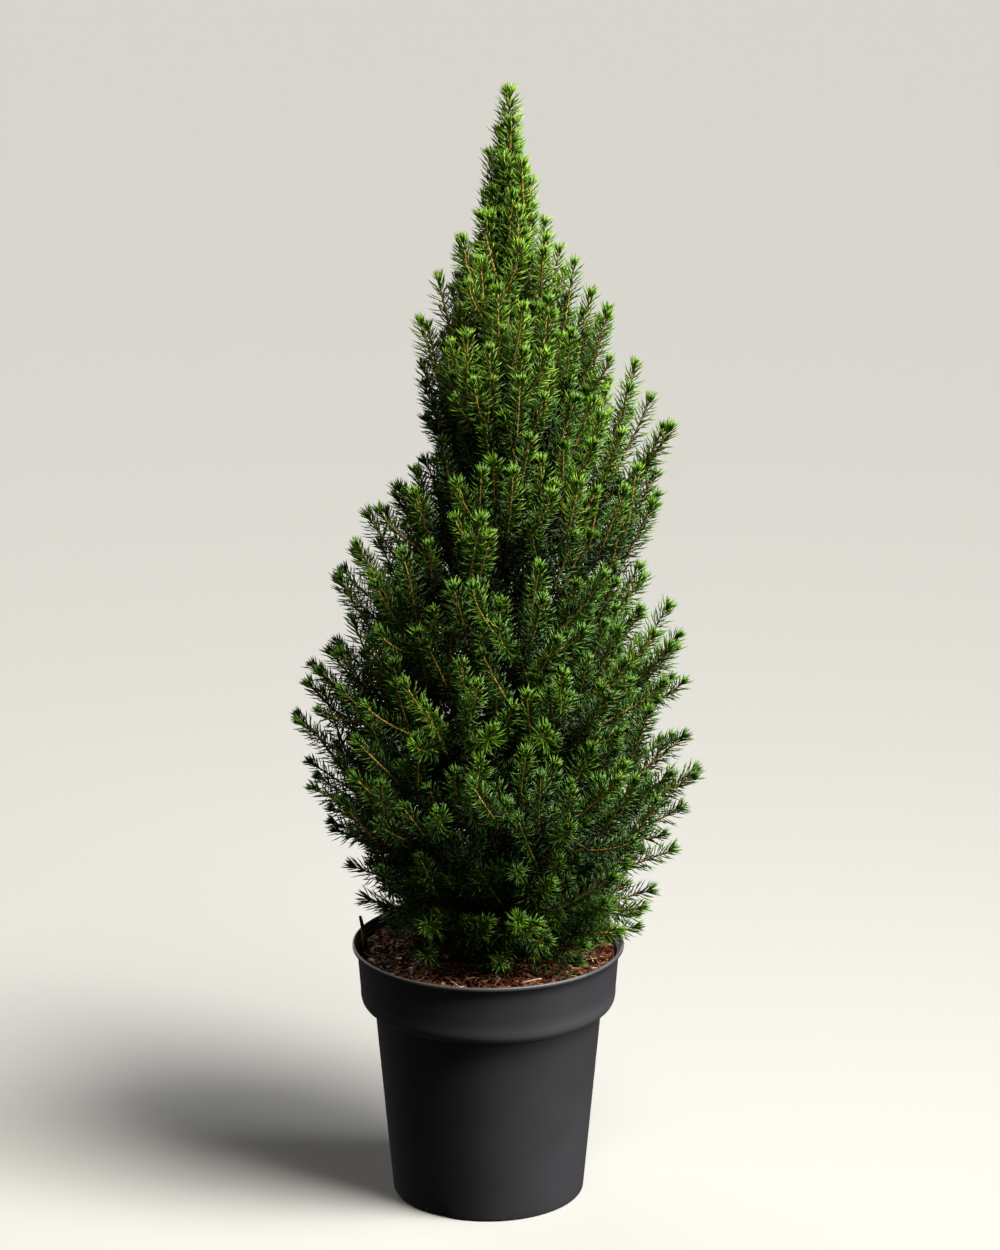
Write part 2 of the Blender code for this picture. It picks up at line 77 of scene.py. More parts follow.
# Pot
POT_HEIGHT = 0.183
POT_BASE_RADIUS = 0.0676
POT_BODY_TOP_RADIUS = 0.0798
POT_FLOOR = 0.0022
COLLAR_BOTTOM = 0.1387
COLLAR_BOTTOM_RADIUS = 0.0895
COLLAR_TOP_RADIUS = 0.0918
COLLAR_STEP = 0.0050
SHOULDER_TOP = 0.1507
SHOULDER_FULLNESS = 0.60
LIP_RADIUS = 0.095
LIP_HEIGHT = 0.0028
POT_WALL = 0.0018
POT_SEGMENTS = 180
# Painted highlight along the lower edge of the collar: position up the band, and how pale it is there
COLLAR_HIGHLIGHT_BAND = ((0.10, 0.0), (0.16, 1.0), (0.27, 0.38), (0.95, 0.0))
FOOT_ROUND = 0.0016
FOOT_ROWS = 6
FOOT_INSETS = (0.0040, 0.0044, 0.0200)
NOTCH_BEARINGS = (58, 238)
NOTCH_HALF_WIDTH = 0.19
NOTCH_HEIGHT = 0.0032

# Filling
SOIL_TOP = 0.1765
SOIL_RADIUS = 0.0888
SOIL_RINGS = 44
CHIPS = (
    # name, count, lengths, light colour, dark colour
    ("mulch_chips_red", 1100, (0.0030, 0.0100), (0.30, 0.074, 0.020), (0.080, 0.018, 0.005)),
    ("mulch_chips_dark", 1200, (0.0030, 0.0080), (0.046, 0.015, 0.007), (0.010, 0.004, 0.002)),
    ("mulch_chips_pale", 300, (0.0040, 0.0125), (0.62, 0.330, 0.165), (0.30, 0.120, 0.046)),
)
CHIP_SPREAD = 0.0872
CHIP_LIMIT = 0.0885
FIBRES = 760
FIBRE_SPREAD = 0.0850
FIBRE_LIMIT = 0.0880

# Loose straws: x, y, yaw in degrees, length; and the strip of bark that stands against the rim
STRAWS = (
    (-0.0230, -0.0830, 38.0, 0.016), (-0.0210, -0.0810, 128.0, 0.014), (0.0300, -0.0700, 12.0, 0.013),
    (0.0560, -0.0560, 150.0, 0.012), (-0.0520, -0.0480, 75.0, 0.011), (0.0640, 0.0400, 20.0, 0.014),
    (-0.0300, 0.0660, 160.0, 0.013), (0.0720, -0.0250, 100.0, 0.010),
)
STRIP_BEARING = 173.0
STRIP_RADIUS = 0.0892
STRIP_WIDTH = 0.0085
STRIP_THICKNESS = 0.0010
STRIP_TOP = 0.1980
STRIP_DARK_FROM = 0.1880
STRIP_DARK_BLEND = 0.0020
STRIP_TAPER_FROM = 0.55
STRIP_DRIFT = 0.030
STRIP_LEAN = 0.0020
STRIP_CURL = 0.0009

# Trunk
TRUNK_BASE = SOIL_TOP + GAP
TRUNK_TIP = 0.704
TRUNK_BASE_RADIUS = 0.0082
TRUNK_TIP_RADIUS = 0.0018
ROOT_FLARE = 0.0050
ROOT_FLARE_HEIGHT = 0.011
TRUNK_LEAN = 0.0124
LEAN_CURVE = 1.3
TRUNK_SWAY = 0.0015

# Crown outline: height, reach to the left of the trunk, reach to the right of it
OUTLINE = (
    (0.176, 0.062, 0.080), (0.200, 0.080, 0.111), (0.242, 0.102, 0.131), (0.285, 0.117, 0.143),
    (0.313, 0.132, 0.147), (0.345, 0.138, 0.139), (0.376, 0.133, 0.131), (0.407, 0.115, 0.131),
    (0.450, 0.109, 0.106), (0.474, 0.100, 0.094), (0.497, 0.091, 0.104), (0.514, 0.074, 0.112),
    (0.535, 0.056, 0.115), (0.560, 0.052, 0.113), (0.600, 0.055, 0.092), (0.634, 0.057, 0.074),
    (0.662, 0.044, 0.049), (0.688, 0.028, 0.031), (0.706, 0.016, 0.021), (0.745, 0.010, 0.011),
    (0.783, 0.008, 0.008),
)
TREE_TOP = 0.783
HEIGHTS, LEFTS, RIGHTS = (np.array(column) for column in zip(*OUTLINE))

CONES = (
    (0.186, 0.0), (0.212, 19.0), (0.254, 37.0), (0.300, 47.0), (0.360, 56.0),
    (0.430, 63.0), (0.515, 69.0), (0.605, 75.0), (0.680, 81.0),
)
TIERS = (
    # name, sectors, bearing of the first in degrees, shoots in each solid, reach of its bough
    ("skirt", 5, 4.0, 4, 0.030),
    ("lower", 6, -7.0, 5, 0.036),
    ("broad", 6, 8.0, 6, 0.030),
    ("middle", 5, 0.0, 6, 0.0),
    ("upper", 4, 6.0, 6, 0.0),
    ("shoulder", 4, -8.0, 5, 0.0),
    ("spire", 3, 3.0, 4, 0.0),
    ("crest", 2, 0.0, 3, 0.0),
)

# Limbs
BOUGH_BASE_RADIUS = 0.0034
BOUGH_TIP_RADIUS = 0.0024
STEM_RADIUS = 0.0022
TWIG_RADIUS = 0.0012
YOUNG_RADIUS = 0.00078
SHOOT_RADIUS = 0.00052
FORK_ANGLE = 42.0
FORK_LIMIT = 0.55
FINE_ANGLE = 36.0
FINE_LENGTH = 0.024
GROWTH = (0.038, 0.054)
STEM_GROWTH = (0.042, 0.062)
SHOOT_SIZES = (0.88, 1.10)
UNFURL = 0.015
TUFT_FANS = (32.0, 52.0)
SPREAD_ACROSS = 0.40
SPREAD_UP = 0.33
REACH_SHARES = (0.93, 1.05)
UPTURN = 9.0
TUFT = 0.0085
LINE_POINTS = 40
FORKS_FROM = slice(4, 36, 2)
ANGLE_SLACK, LENGTH_SLACK, OUTSIDE_SLACK = 18, 0.020, 0.012
OUTWARD_BOW = (-0.05, 0.22)
SAG = 0.10
NEARBY = 0.09

# Finer shoots over each mass: spacing, shares of the reach, whether they still grow, and shade
LAYERS = (
    (0.0400, (0.95, 1.04), True, False),
    (0.0240, (0.76, 0.94), True, False),
    (0.0250, (0.54, 0.76), True, True),
    (0.0260, (0.32, 0.52), False, True),
    (0.0260, (0.12, 0.32), False, True),
)
FINER_ABOVE = (5, 0.80)
SIDE_COSINE = 0.80
SIDE_SHARES = (0.80, 0.84, 0.90)
SWELL, SWELL_SCALE = 0.16, 15.0
CROWDING = 0.55
RISE_HEIGHTS = (0.18, 0.24, 0.30, 0.36, 0.45, 0.60, 0.70)
RISES = (12.0, 32.0, 50.0, 61.0, 69.0, 76.0, 81.0)

# Shoots that hug the foot of the leader
HUGGING = 11
HUG_HEIGHTS = (0.690, 0.764)
HUG_RADII = (0.014, 0.0065)
HUG_TURN = 2.4

# Needles: counts are per metre of new growth, per metre of older wood, and in the tuft
OPEN_COUNTS = (1700, 820, 18)
SHADED_COUNTS = (1000, 700, 11)
NEEDLE_TURN = math.radians(137.508)
NEEDLE_LENGTHS = (0.0104, 0.0138)
NEEDLE_WIDTHS, OLD_WIDTHS = (0.00095, 0.00120), (0.0011, 0.0014)
LEANS, LEAN_SPREAD = (30.0, 67.0), (-17, 13)
BARE_BELOW = 0.040
TUFT_DEPTH = 0.0055
SKYWARD = 0.10

# The lowest shoots bear longer needles
LOW_SHOOTS_UNDER = 0.262
LOW_SHOOT_SIZE = 1.14

# Needle colours by (zone of the shoot, tone): tones 0 to 3 run from deep to light and are dealt lighter
# higher up, partly as painted light; 4 and 5 are painted shade, for shaded shoots inside the crown
LOOKS = {
    (0, 0): ("needles_tip_deep", (0.031, 0.098, 0.004)),
    (0, 1): ("needles_tip_mid", (0.046, 0.132, 0.004)),
    (0, 2): ("needles_tip_fresh", (0.066, 0.168, 0.004)),
    (0, 3): ("needles_tip_bright", (0.090, 0.200, 0.006)),
    (0, 4): ("needles_tip_inner", (0.021, 0.080, 0.002)),
    (1, 0): ("needles_new_deep", (0.023, 0.074, 0.009)),
    (1, 1): ("needles_new_mid", (0.037, 0.106, 0.006)),
    (1, 2): ("needles_new_green", (0.060, 0.148, 0.007)),
    (1, 3): ("needles_new_light", (0.092, 0.194, 0.011)),
    (1, 4): ("needles_inner_green", (0.013, 0.056, 0.002)),
    (1, 5): ("needles_inner_warm", (0.017, 0.052, 0.001)),
    (2, 0): ("needles_low_deep", (0.016, 0.054, 0.010)),
    (2, 1): ("needles_low_mid", (0.023, 0.074, 0.006)),
    (2, 2): ("needles_low_green", (0.039, 0.108, 0.007)),
    (2, 3): ("needles_low_light", (0.064, 0.148, 0.009)),
    (2, 4): ("needles_inner_deep", (0.008, 0.037, 0.002)),
    (2, 5): ("needles_inner_olive", (0.011, 0.034, 0.001)),
    (3, 0): ("needles_old_deep", (0.0055, 0.0240, 0.0020)),
    (3, 1): ("needles_old_dark", (0.0070, 0.0215, 0.0010)),
}
OLD_ZONE = 3
SHADED_TONE = 4
# How a shoot's tone is dealt: it rises with height, partly as painted light, plus a random spread
TONE_RISE, TONE_SPREAD, TONE_SHIFT = 2.9, 1.6, -0.15
TONE_TOP = 0.92

# Shoot tips that stand out on the left and right of the crown: x and height
FINGERS = (
    (0.001, 0.743), (-0.006, 0.702), (-0.019, 0.687), (-0.034, 0.660), (-0.047, 0.631),
    (-0.045, 0.586), (-0.038, 0.557), (-0.046, 0.532), (-0.065, 0.511), (-0.085, 0.497),
    (-0.094, 0.470), (-0.104, 0.451), (-0.113, 0.398), (-0.128, 0.376), (-0.136, 0.352),
    (-0.130, 0.315), (-0.115, 0.288), (-0.115, 0.277), (-0.101, 0.242), (-0.077, 0.203),
    (0.020, 0.746), (0.026, 0.730), (0.031, 0.707), (0.041, 0.687), (0.059, 0.670),
    (0.066, 0.632), (0.082, 0.636), (0.101, 0.601), (0.121, 0.560), (0.116, 0.524),
    (0.118, 0.510), (0.093, 0.518), (0.109, 0.452), (0.119, 0.414), (0.136, 0.407),
    (0.132, 0.377), (0.141, 0.339), (0.149, 0.313), (0.140, 0.286), (0.135, 0.255),
    (0.111, 0.197),
)
FINGER_HEIGHTS = (0.20, 0.28, 0.35, 0.42, 0.50, 0.60, 0.70, 0.78)
FINGER_LEANS = (76.0, 62.0, 48.0, 36.0, 26.0, 18.0, 11.0, 3.0)


def between(low, high, share):
    return low + (high - low) * share


def unit(vector):
    return vector / np.linalg.norm(vector)


def normalised(vectors):
    return vectors / np.linalg.norm(vectors, axis=-1, keepdims=True)


def trunk_axis(height):
    share = (height - TRUNK_BASE) / (TRUNK_TIP - TRUNK_BASE)
    lean = TRUNK_LEAN * max(share, 0.0) ** LEAN_CURVE
    return np.array((lean, TRUNK_SWAY * math.sin(math.tau * share), height))


def trunk_radius(height):
    share = (height - TRUNK_BASE) / (TRUNK_TIP - TRUNK_BASE)
    flare = ROOT_FLARE * math.exp(-(height - TRUNK_BASE) / ROOT_FLARE_HEIGHT)
    return between(TRUNK_BASE_RADIUS, TRUNK_TIP_RADIUS, share) + flare


def crown_reach(height, bearing):
    left, right = np.interp(height, HEIGHTS, LEFTS), np.interp(height, HEIGHTS, RIGHTS)
    return between(left, right, (1 + math.cos(bearing)) / 2)


def cone_height(tier, level, radius):
    low, high = CONES[tier], CONES[tier + 1]
    low_z = low[0] + radius * math.tan(math.radians(low[1]))
    high_z = high[0] + radius * math.tan(math.radians(high[1]))
    return between(low_z, high_z, level)


def direction(bearing, rise=0.0):
    flat = math.cos(rise)
    return np.array((math.cos(bearing) * flat, math.sin(bearing) * flat, math.sin(rise)))


def crown_point(tier, level, bearing, radius):
    return trunk_axis(cone_height(tier, level, radius)) + direction(bearing) * radius


def reach_along(tier, level, bearing):
    low, high = 0.0, 0.2
    for _ in range(30):
        middle = (low + high) / 2
        inside = middle < crown_reach(cone_height(tier, level, middle), bearing)
        low, high = (middle, high) if inside else (low, middle)
    return low


def heading_at(tier, level, bearing, upturn):
    low, high = CONES[tier][1], CONES[tier + 1][1]
    return direction(bearing, math.radians(between(low, high, level) + upturn))


def shoot_heading(bearing, height, more):
    """Direction of a fine shoot's tip: outwards low in the crown, and nearly upright further up."""
    return direction(bearing, math.radians(np.interp(height, RISE_HEIGHTS, RISES) + more))


def bend(start, leave, end, arrive, count=LINE_POINTS):
    third = np.linalg.norm(end - start) / 3
    t = np.linspace(0.0, 1.0, count)[:, None]
    return (
        (1 - t) ** 3 * start
        + 3 * t * (1 - t) ** 2 * (start + leave * third)
        + 3 * t**2 * (1 - t) * (end - arrive * third)
        + t**3 * end
    )


def leave_trunk(tier, bearing, radius):
    leave = heading_at(tier, 0.5, bearing, -UPTURN)
    clear = trunk_radius(cone_height(tier, 0.5, 0.0)) + GAP + radius * leave[2]
    return crown_point(tier, 0.5, bearing, clear), leave


def spread(count, rng):
    start = rng.uniform(0, math.tau)
    angles = [start + math.tau * i / count for i in range(count)]
    return [(SPREAD_ACROSS * math.cos(a), SPREAD_UP * math.sin(a)) for a in angles]


class Shoot:
    """One twig from its fork to its tip: its centre line, and how much of it bears needles."""

    def __init__(self, line, foot_radius, rng, growing=True):
        self.line = line
        self.foot_radius = foot_radius
        steps = np.linalg.norm(np.diff(line, axis=0), axis=1)
        self.along = np.concatenate([[0.0], np.cumsum(steps)])
        self.length = self.along[-1]
        self.growth = min(rng.uniform(*STEM_GROWTH), self.length * 0.92) if growing else 0.0
        self.older = max(self.length - self.growth - 0.003, 0.0)
        self.shaded = not growing
        self.fullness = 1.0
        self.size = rng.uniform(*SHOOT_SIZES)
        self.unfurl = UNFURL
        self.fan = rng.uniform(*TUFT_FANS)
        self.tint = rng.random()
        self.twist = rng.uniform(0, math.tau)

    def at(self, along):
        """Points on the line at distances from its fork."""
        return np.stack([np.interp(along, self.along, self.line[:, k]) for k in range(3)], axis=-1)

    def heading(self, along):
        """Directions of the line at distances from its fork."""
        step = 0.0015
        ahead = self.at(np.minimum(along + step, self.length))
        behind = self.at(np.maximum(along - step, 0.0))
        return normalised(ahead - behind)


def solid_shoots(cell, start, leave, count, foot_radius, rng, own):
    """The shoots that the mass's solid has: its stem, then each side shoot."""
    tier, bearing, half_width = cell
    heading = heading_at(tier, 0.5, bearing, UPTURN)
    tip = crown_point(tier, 0.5, bearing, reach_along(tier, 0.5, bearing)) - heading * TUFT
    stem = bend(start, leave, tip, heading)
    shoots = [Shoot(stem, foot_radius, own)]
    for across, up in spread(count - 1, rng):
        level = 0.5 + up
        turn = bearing + 2 * half_width * across
        side_heading = heading_at(tier, level, turn, UPTURN)
        side_reach = reach_along(tier, level, turn) * rng.uniform(*REACH_SHARES)
        side_tip = crown_point(tier, level, turn, side_reach) - side_heading * TUFT
        forks = stem[1 : round(LINE_POINTS * FORK_LIMIT)]
        runs = side_tip - forks
        angles = np.arccos(np.clip(runs @ heading / np.linalg.norm(runs, axis=1), -1, 1))
        fork = forks[np.argmin(np.abs(angles - math.radians(FORK_ANGLE)))]
        line = bend(fork, unit(side_tip - fork), side_tip, side_heading)
        shoots.append(Shoot(line, TWIG_RADIUS, own))
    return shoots


def fork_for(knee, heading, shoots):
    """(place, direction there) where a new shoot leaves the limbs that are already there."""
    places = np.concatenate([s.line[FORKS_FROM] for s in shoots])
    ways = np.concatenate([np.gradient(s.line, axis=0)[FORKS_FROM] for s in shoots])
    runs = knee - places
    lengths = np.linalg.norm(runs, axis=1)
    angles = np.degrees(np.arccos(np.clip(runs @ heading / lengths, -1, 1)))
    middle = trunk_axis(knee[2])
    outside = np.hypot(places[:, 0] - middle[0], places[:, 1] - middle[1])
    outside -= math.hypot(knee[0] - middle[0], knee[1] - middle[1])
    cost = np.abs(angles - FINE_ANGLE) / ANGLE_SLACK + np.abs(lengths - FINE_LENGTH) / LENGTH_SLACK
    cost += np.maximum(outside, 0.0) / OUTSIDE_SLACK
    best = int(np.argmin(cost))
    return places[best], unit(ways[best])


def branch_to(tip, heading, shoots, own, growing=True):
    """A new shoot that leaves a limb inside the crown, then grows nearly straight to its tip."""
    run = own.uniform(*GROWTH) if growing else 0.6 * own.uniform(*GROWTH)
    out = np.array((heading[0], heading[1], 0.0))
    low = unit(heading + out * own.uniform(*OUTWARD_BOW) - UP * own.uniform(0.0, SAG))
    knee = tip - unit(low + heading) * run
    knee[2] = max(knee[2], TRUNK_BASE + 0.012)
    fork, way = fork_for(knee, low, shoots)
    leave = unit(unit(knee - fork) * 1.2 + way * 0.5)
    line = np.concatenate([bend(fork, leave, knee, low, 14)[:-1], bend(knee, low, tip, heading, 27)])
    made = Shoot(line, TWIG_RADIUS, own, growing)
    made.growth = run if growing else 0.0
    made.older = max(made.length - made.growth - 0.002, 0.0)
    return made


def fine_shoots(cell, shoots, own):
    """More shoots over the outside of a mass, then some further in, each forking off the last ones."""
    tier, bearing, half_width = cell
    grown = list(shoots)
    tips = [s.line[-1] for s in shoots]
    top = crown_point(tier, 1.0, bearing, reach_along(tier, 1.0, bearing))
    foot = crown_point(tier, 0.0, bearing, reach_along(tier, 0.0, bearing))
    finer = FINER_ABOVE[1] if tier >= FINER_ABOVE[0] else 1.0
    for spacing, shares, growing, shaded in LAYERS:
        spacing *= finer
        rows = max(round(np.linalg.norm(top - foot) * np.mean(shares) / spacing), 1)
        for row in range(rows):
            width = 2 * half_width * reach_along(tier, (row + 0.5) / rows, bearing) * np.mean(shares)
            columns = max(round(width / spacing), 1)
            for column in range(columns):
                level = (row + 0.5 + own.uniform(-0.35, 0.35)) / rows
                across = (column + 0.5 * (row % 2) + 0.25 + own.uniform(-0.3, 0.3)) / columns - 0.5
                turn = bearing + 2 * half_width * across
                share = own.uniform(*shares)
                if abs(math.cos(turn)) > SIDE_COSINE:
                    share *= SIDE_SHARES[min(tier, 2)]
                reach = reach_along(tier, level, turn)
                place = Vector(crown_point(tier, level, turn, reach))
                share *= 1 - SWELL * max(noise.noise(place * SWELL_SCALE), 0.0)
                end = crown_point(tier, level, turn, reach * share)
                heading = shoot_heading(turn + own.uniform(-0.6, 0.6), end[2], own.uniform(-13, 10))
                tip = end - heading * TUFT
                if min(np.linalg.norm(tip - other) for other in tips) < CROWDING * spacing:
                    continue
                made = branch_to(tip, heading, grown, own, growing)
                made.shaded = shaded
                grown.append(made)
                tips.append(tip)
    return grown[len(shoots):]


def shoots_near(place, shoots):
    return [s for s in shoots if np.linalg.norm(s.line[-1] - place) < NEARBY]


def fingers(shoots, own):
    """The shoots that stand out on both sides of the crown."""
    made = []
    for x, height in FINGERS:
        side = math.copysign(1.0, x - trunk_axis(height)[0])
        lean = math.radians(np.interp(height, FINGER_HEIGHTS, FINGER_LEANS) + own.uniform(-4, 4))
        heading = unit(np.array((side * math.sin(lean), own.uniform(-0.12, 0.12), math.cos(lean))))
        tip = np.array((x, own.uniform(-0.014, 0.014), height)) - heading * TUFT
        made.append(branch_to(tip, heading, shoots_near(tip, shoots), own))
    return made


def hugging_shoots(shoots, own):
    """Short shoots pressed close round the foot of the leader, up a rising spiral."""
    made = []
    for k in range(HUGGING):
        share = k / (HUGGING - 1)
        height, radius = between(*HUG_HEIGHTS, share), between(*HUG_RADII, share)
        turn = k * HUG_TURN + own.uniform(-0.3, 0.3)
        end = trunk_axis(height) + radius * direction(turn)
        heading = shoot_heading(turn, height, 2.0)
        shoot = branch_to(end - heading * TUFT, heading, shoots_near(end, shoots), own)
        shoot.fullness = 1.25
        made.append(shoot)
    return made


def grow_crown():
    """(boughs, shoots): each bough a centre line, each shoot a Shoot."""
    rng, own = random.Random(SEED), random.Random(SEED + 1)
    boughs, shoots = [], []
    for tier, (_, sectors, first, count, reach) in enumerate(TIERS):
        for i in range(sectors):
            bearing = math.radians(first + 360 / sectors * i)
            cell = (tier, bearing, math.pi / sectors)
            if reach:
                start, leave = leave_trunk(tier, bearing, BOUGH_BASE_RADIUS)
                end = crown_point(tier, 0.5, bearing, reach)
                line = bend(start, leave, end, heading_at(tier, 0.5, bearing, 0), 24)
                boughs.append(line)
                leave, start, radius = unit(line[-1] - line[-2]), line[-1], STEM_RADIUS
            else:
                start, leave = leave_trunk(tier, bearing, TWIG_RADIUS)
                start, radius = start - leave * 0.003, TWIG_RADIUS * 1.25
            made = solid_shoots(cell, start, leave, count, radius, rng, own)
            shoots += made + fine_shoots(cell, made, own)
    start, tip = trunk_axis(TRUNK_TIP - 0.004), trunk_axis(TREE_TOP - TUFT)
    leader = Shoot(bend(start, UP, tip, UP), TRUNK_TIP_RADIUS, own)
    leader.growth, leader.older = leader.length * 0.97, 0.0
    leader.fullness, leader.size, leader.unfurl, leader.fan = 2.5, 1.04, 0.012, 42.0
    shoots.append(leader)
    shoots += hugging_shoots(shoots, own)
    shoots += fingers(shoots, own)
    return boughs, shoots


def linked(name, data):
    made = bpy.data.objects.new(name, data)
    bpy.context.scene.collection.objects.link(made)
    return made


def mesh_object(name, points, faces, smooth=True):
    """A mesh object from arrays of points and of faces that have the same number of corners."""
    mesh = bpy.data.meshes.new(name)
    faces = np.asarray(faces, np.int32)
    count, corners = faces.shape
    mesh.vertices.add(len(points))
    mesh.vertices.foreach_set("co", np.asarray(points, np.float32).ravel())
    mesh.loops.add(count * corners)
    mesh.loops.foreach_set("vertex_index", faces.ravel())
    mesh.polygons.add(count)
    mesh.polygons.foreach_set("loop_start", np.arange(0, count * corners, corners, dtype=np.int32))
    mesh.polygons.foreach_set("use_smooth", np.full(count, smooth))
    mesh.update(calc_edges=True)
    mesh.validate()
    return linked(name, mesh)


def repeated(name, points, faces, smooth=True):
    """Many pieces of one make as one mesh: points of each piece, and the faces of the first."""
    count, corners = points.shape[:2]
    faces = faces[None] + (np.arange(count) * corners)[:, None, None]
    return mesh_object(name, points.reshape(-1, 3), faces.reshape(-1, 3), smooth)


def halves(quads):
    return np.concatenate([quads[:, [0, 1, 2]], quads[:, [0, 2, 3]]])


def square_to(ways, helper):
    """(side, over): unit vectors square to each way and to each other."""
    side = normalised(np.cross(ways, helper))
    return side, np.cross(side, ways)


NEEDLE_FACES = np.array((
    (0, 1, 3), (0, 3, 2), (0, 2, 4), (0, 4, 1), (1, 4, 3), (2, 3, 5), (4, 2, 5), (3, 4, 5),
))
SPINDLE_FACES = np.array(((0, 2, 1), (0, 3, 2), (0, 1, 3), (1, 2, 4), (2, 3, 4), (3, 1, 4)))
BOX_POINTS = np.array([(x, y, z) for z in (-1, 1) for y in (-1, 1) for x in (-1, 1)], float)
BOX_FACES = halves(np.array((
    (0, 2, 3, 1), (4, 5, 7, 6), (0, 1, 5, 4), (2, 6, 7, 3), (0, 4, 6, 2), (1, 3, 7, 5),
)))


def needle_mesh(name, roots, ways, forwards, lengths, widths):
    """Needles as closed ridged blades that keep their width, then come to a point."""
    body = 0.62
    side, lift = square_to(ways, forwards)
    half = (widths * 0.5)[:, None]
    middles = roots + ways * (lengths * body)[:, None]
    points = np.empty((len(roots), 6, 3))
    points[:, 0] = roots + side * half * 0.8
    points[:, 1] = roots - side * half * 0.8
    points[:, 2] = middles + (side - lift * 0.35) * half
    points[:, 3] = middles - (side + lift * 0.35) * half
    points[:, 4] = middles + lift * half
    points[:, 5] = middles + normalised(ways + forwards * 0.28) * (lengths * (1 - body))[:, None]
    return repeated(name, points, NEEDLE_FACES)


def spindle_mesh(name, roots, ways, forwards, lengths, widths):
    """Plainer needles for the shade inside the crown: pointed at both ends."""
    side, lift = square_to(ways, forwards)
    points = np.empty((len(roots), 5, 3))
    points[:, 0] = roots
    for k in range(3):
        angle = math.pi / 2 + math.tau * k / 3
        arm = side * math.cos(angle) + lift * math.sin(angle)
        points[:, 1 + k] = roots + ways * (lengths * 0.45)[:, None] + arm * (widths * 0.6)[:, None]
    points[:, 4] = roots + normalised(ways + forwards * 0.12) * lengths[:, None]
    return repeated(name, points, SPINDLE_FACES)


def shoot_needles(shoot, rng):
    """(roots, ways, forwards, lengths, widths, zone) of one shoot's needles.

    Zone 0 is the tuft, 1 and 2 the upper and lower part of the new growth, 3 the older wood.
    """
    per_metre, older_per_metre, in_tuft = SHADED_COUNTS if shoot.shaded else OPEN_COUNTS
    needled = min(shoot.older, BARE_BELOW)
    count = int(shoot.growth * per_metre * shoot.fullness)
    older = int(needled * older_per_metre)
    tuft = int(in_tuft * shoot.fullness) if shoot.growth else 0
    back = np.concatenate([
        np.linspace(0.0, 0.0032, tuft),
        np.linspace(0.0030, shoot.growth, count),
        shoot.growth + np.linspace(0.0, needled, older, endpoint=False),
    ])
    total = len(back)
    back = np.clip(back + rng.uniform(-0.0005, 0.0005, total), 0.0, shoot.length)
    along = shoot.length - back
    roots, forwards = shoot.at(along), shoot.heading(along)

    turn = shoot.twist + np.arange(total) * NEEDLE_TURN + rng.uniform(-0.4, 0.4, total)
    upright = np.abs(forwards[:, 2:]) > 0.9
    side, over = square_to(forwards, np.where(upright, (1.0, 0.0, 0.0), UP))
    out = side * np.cos(turn)[:, None] + over * np.sin(turn)[:, None]
    opening = np.clip((back - 0.002) / shoot.unfurl, 0, 1)
    lean = np.radians(between(*LEANS, opening ** 0.7) + rng.uniform(*LEAN_SPREAD, total))

    lengths = rng.uniform(*NEEDLE_LENGTHS, total) * shoot.size
    foot = np.clip((shoot.growth - back) / 0.012, 0, 1)
    upper = shoot.growth * (0.42 + 0.2 * shoot.tint)
    within = [back < min(TUFT_DEPTH, shoot.growth), back < upper, back < shoot.growth]
    zone = np.select(within, [0, 1, 2], OLD_ZONE)
    lengths *= np.where(zone == OLD_ZONE, 1.0, between(0.70, 1.0, foot)) * between(0.84, 1.0, opening)

    brush = np.arange(total) < tuft
    fan = np.radians(shoot.fan) * np.sqrt(rng.uniform(0, 1, total))
    lean = np.where(brush, fan, lean)
    flat = (0.0068 + back) / np.cos(fan) ** 0.5 * rng.uniform(0.76, 1.14, total)
    lengths = np.where(brush, flat * shoot.size, lengths)
    ways = forwards * np.cos(lean)[:, None] + out * np.sin(lean)[:, None]
    ways = normalised(ways + UP * SKYWARD * (1 - brush)[:, None])
    widths = np.where(zone == OLD_ZONE, rng.uniform(*OLD_WIDTHS, total), rng.uniform(*NEEDLE_WIDTHS, total))
    return roots, ways, forwards, lengths, widths, zone


def tube_faces(first, count, sides):
    """Triangles of a closed tube, for points ring by ring from number first, then its foot and tip."""
    ring = first + np.arange(count * sides).reshape(count, sides)
    twin = np.roll(ring, -1, axis=1)
    quads = np.stack([ring[:-1], ring[1:], twin[1:], twin[:-1]], axis=2).reshape(-1, 4)
    foot, tip = np.full(sides, first + count * sides), np.full(sides, first + count * sides + 1)
    caps = [np.stack([foot, ring[0], twin[0]], axis=1), np.stack([tip, twin[-1], ring[-1]], axis=1)]
    return np.concatenate([halves(quads), *caps])


def tubes(name, lines, sides):
    """Closed tapering tubes along lines of (points, radii), joined as one mesh object."""
    points, faces, first = [], [], 0
    angles = np.linspace(0, math.tau, sides, endpoint=False)
    for line, radii in lines:
        way = normalised(np.gradient(line, axis=0))
        helper = np.array((1.0, 0.0, 0.0)) if abs(way[0][2]) > 0.9 else UP
        side, over = square_to(way, helper)
        arms = side[:, None] * np.cos(angles)[None, :, None] + over[:, None] * np.sin(angles)[None, :, None]
        points.append((line[:, None] + arms * radii[:, None, None]).reshape(-1, 3))
        points.append(np.stack([line[0] - way[0] * radii[0] * 0.3, line[-1] + way[-1] * radii[-1] * 0.8]))
        faces.append(tube_faces(first, len(line), sides))
        first += len(line) * sides + 2
    return mesh_object(name, np.concatenate(points), np.concatenate(faces))


def lathe(name, profile, segments, shape):
    """A turned surface from a profile that starts and ends on the axis; shape moves its points."""
    inner = np.array(profile[1:-1])
    radii, heights = inner[:, :1], inner[:, 1:]
    angles = np.linspace(0, math.tau, segments, endpoint=False)
    points = np.stack([radii * np.cos(angles), radii * np.sin(angles), heights.repeat(segments, 1)], axis=2)
    shape(points, angles)
    poles = np.array(((0, 0, profile[0][1]), (0, 0, profile[-1][1])))
    faces = tube_faces(0, len(inner), segments)[:, ::-1]
    return mesh_object(name, np.concatenate([points.reshape(-1, 3), poles]), faces)


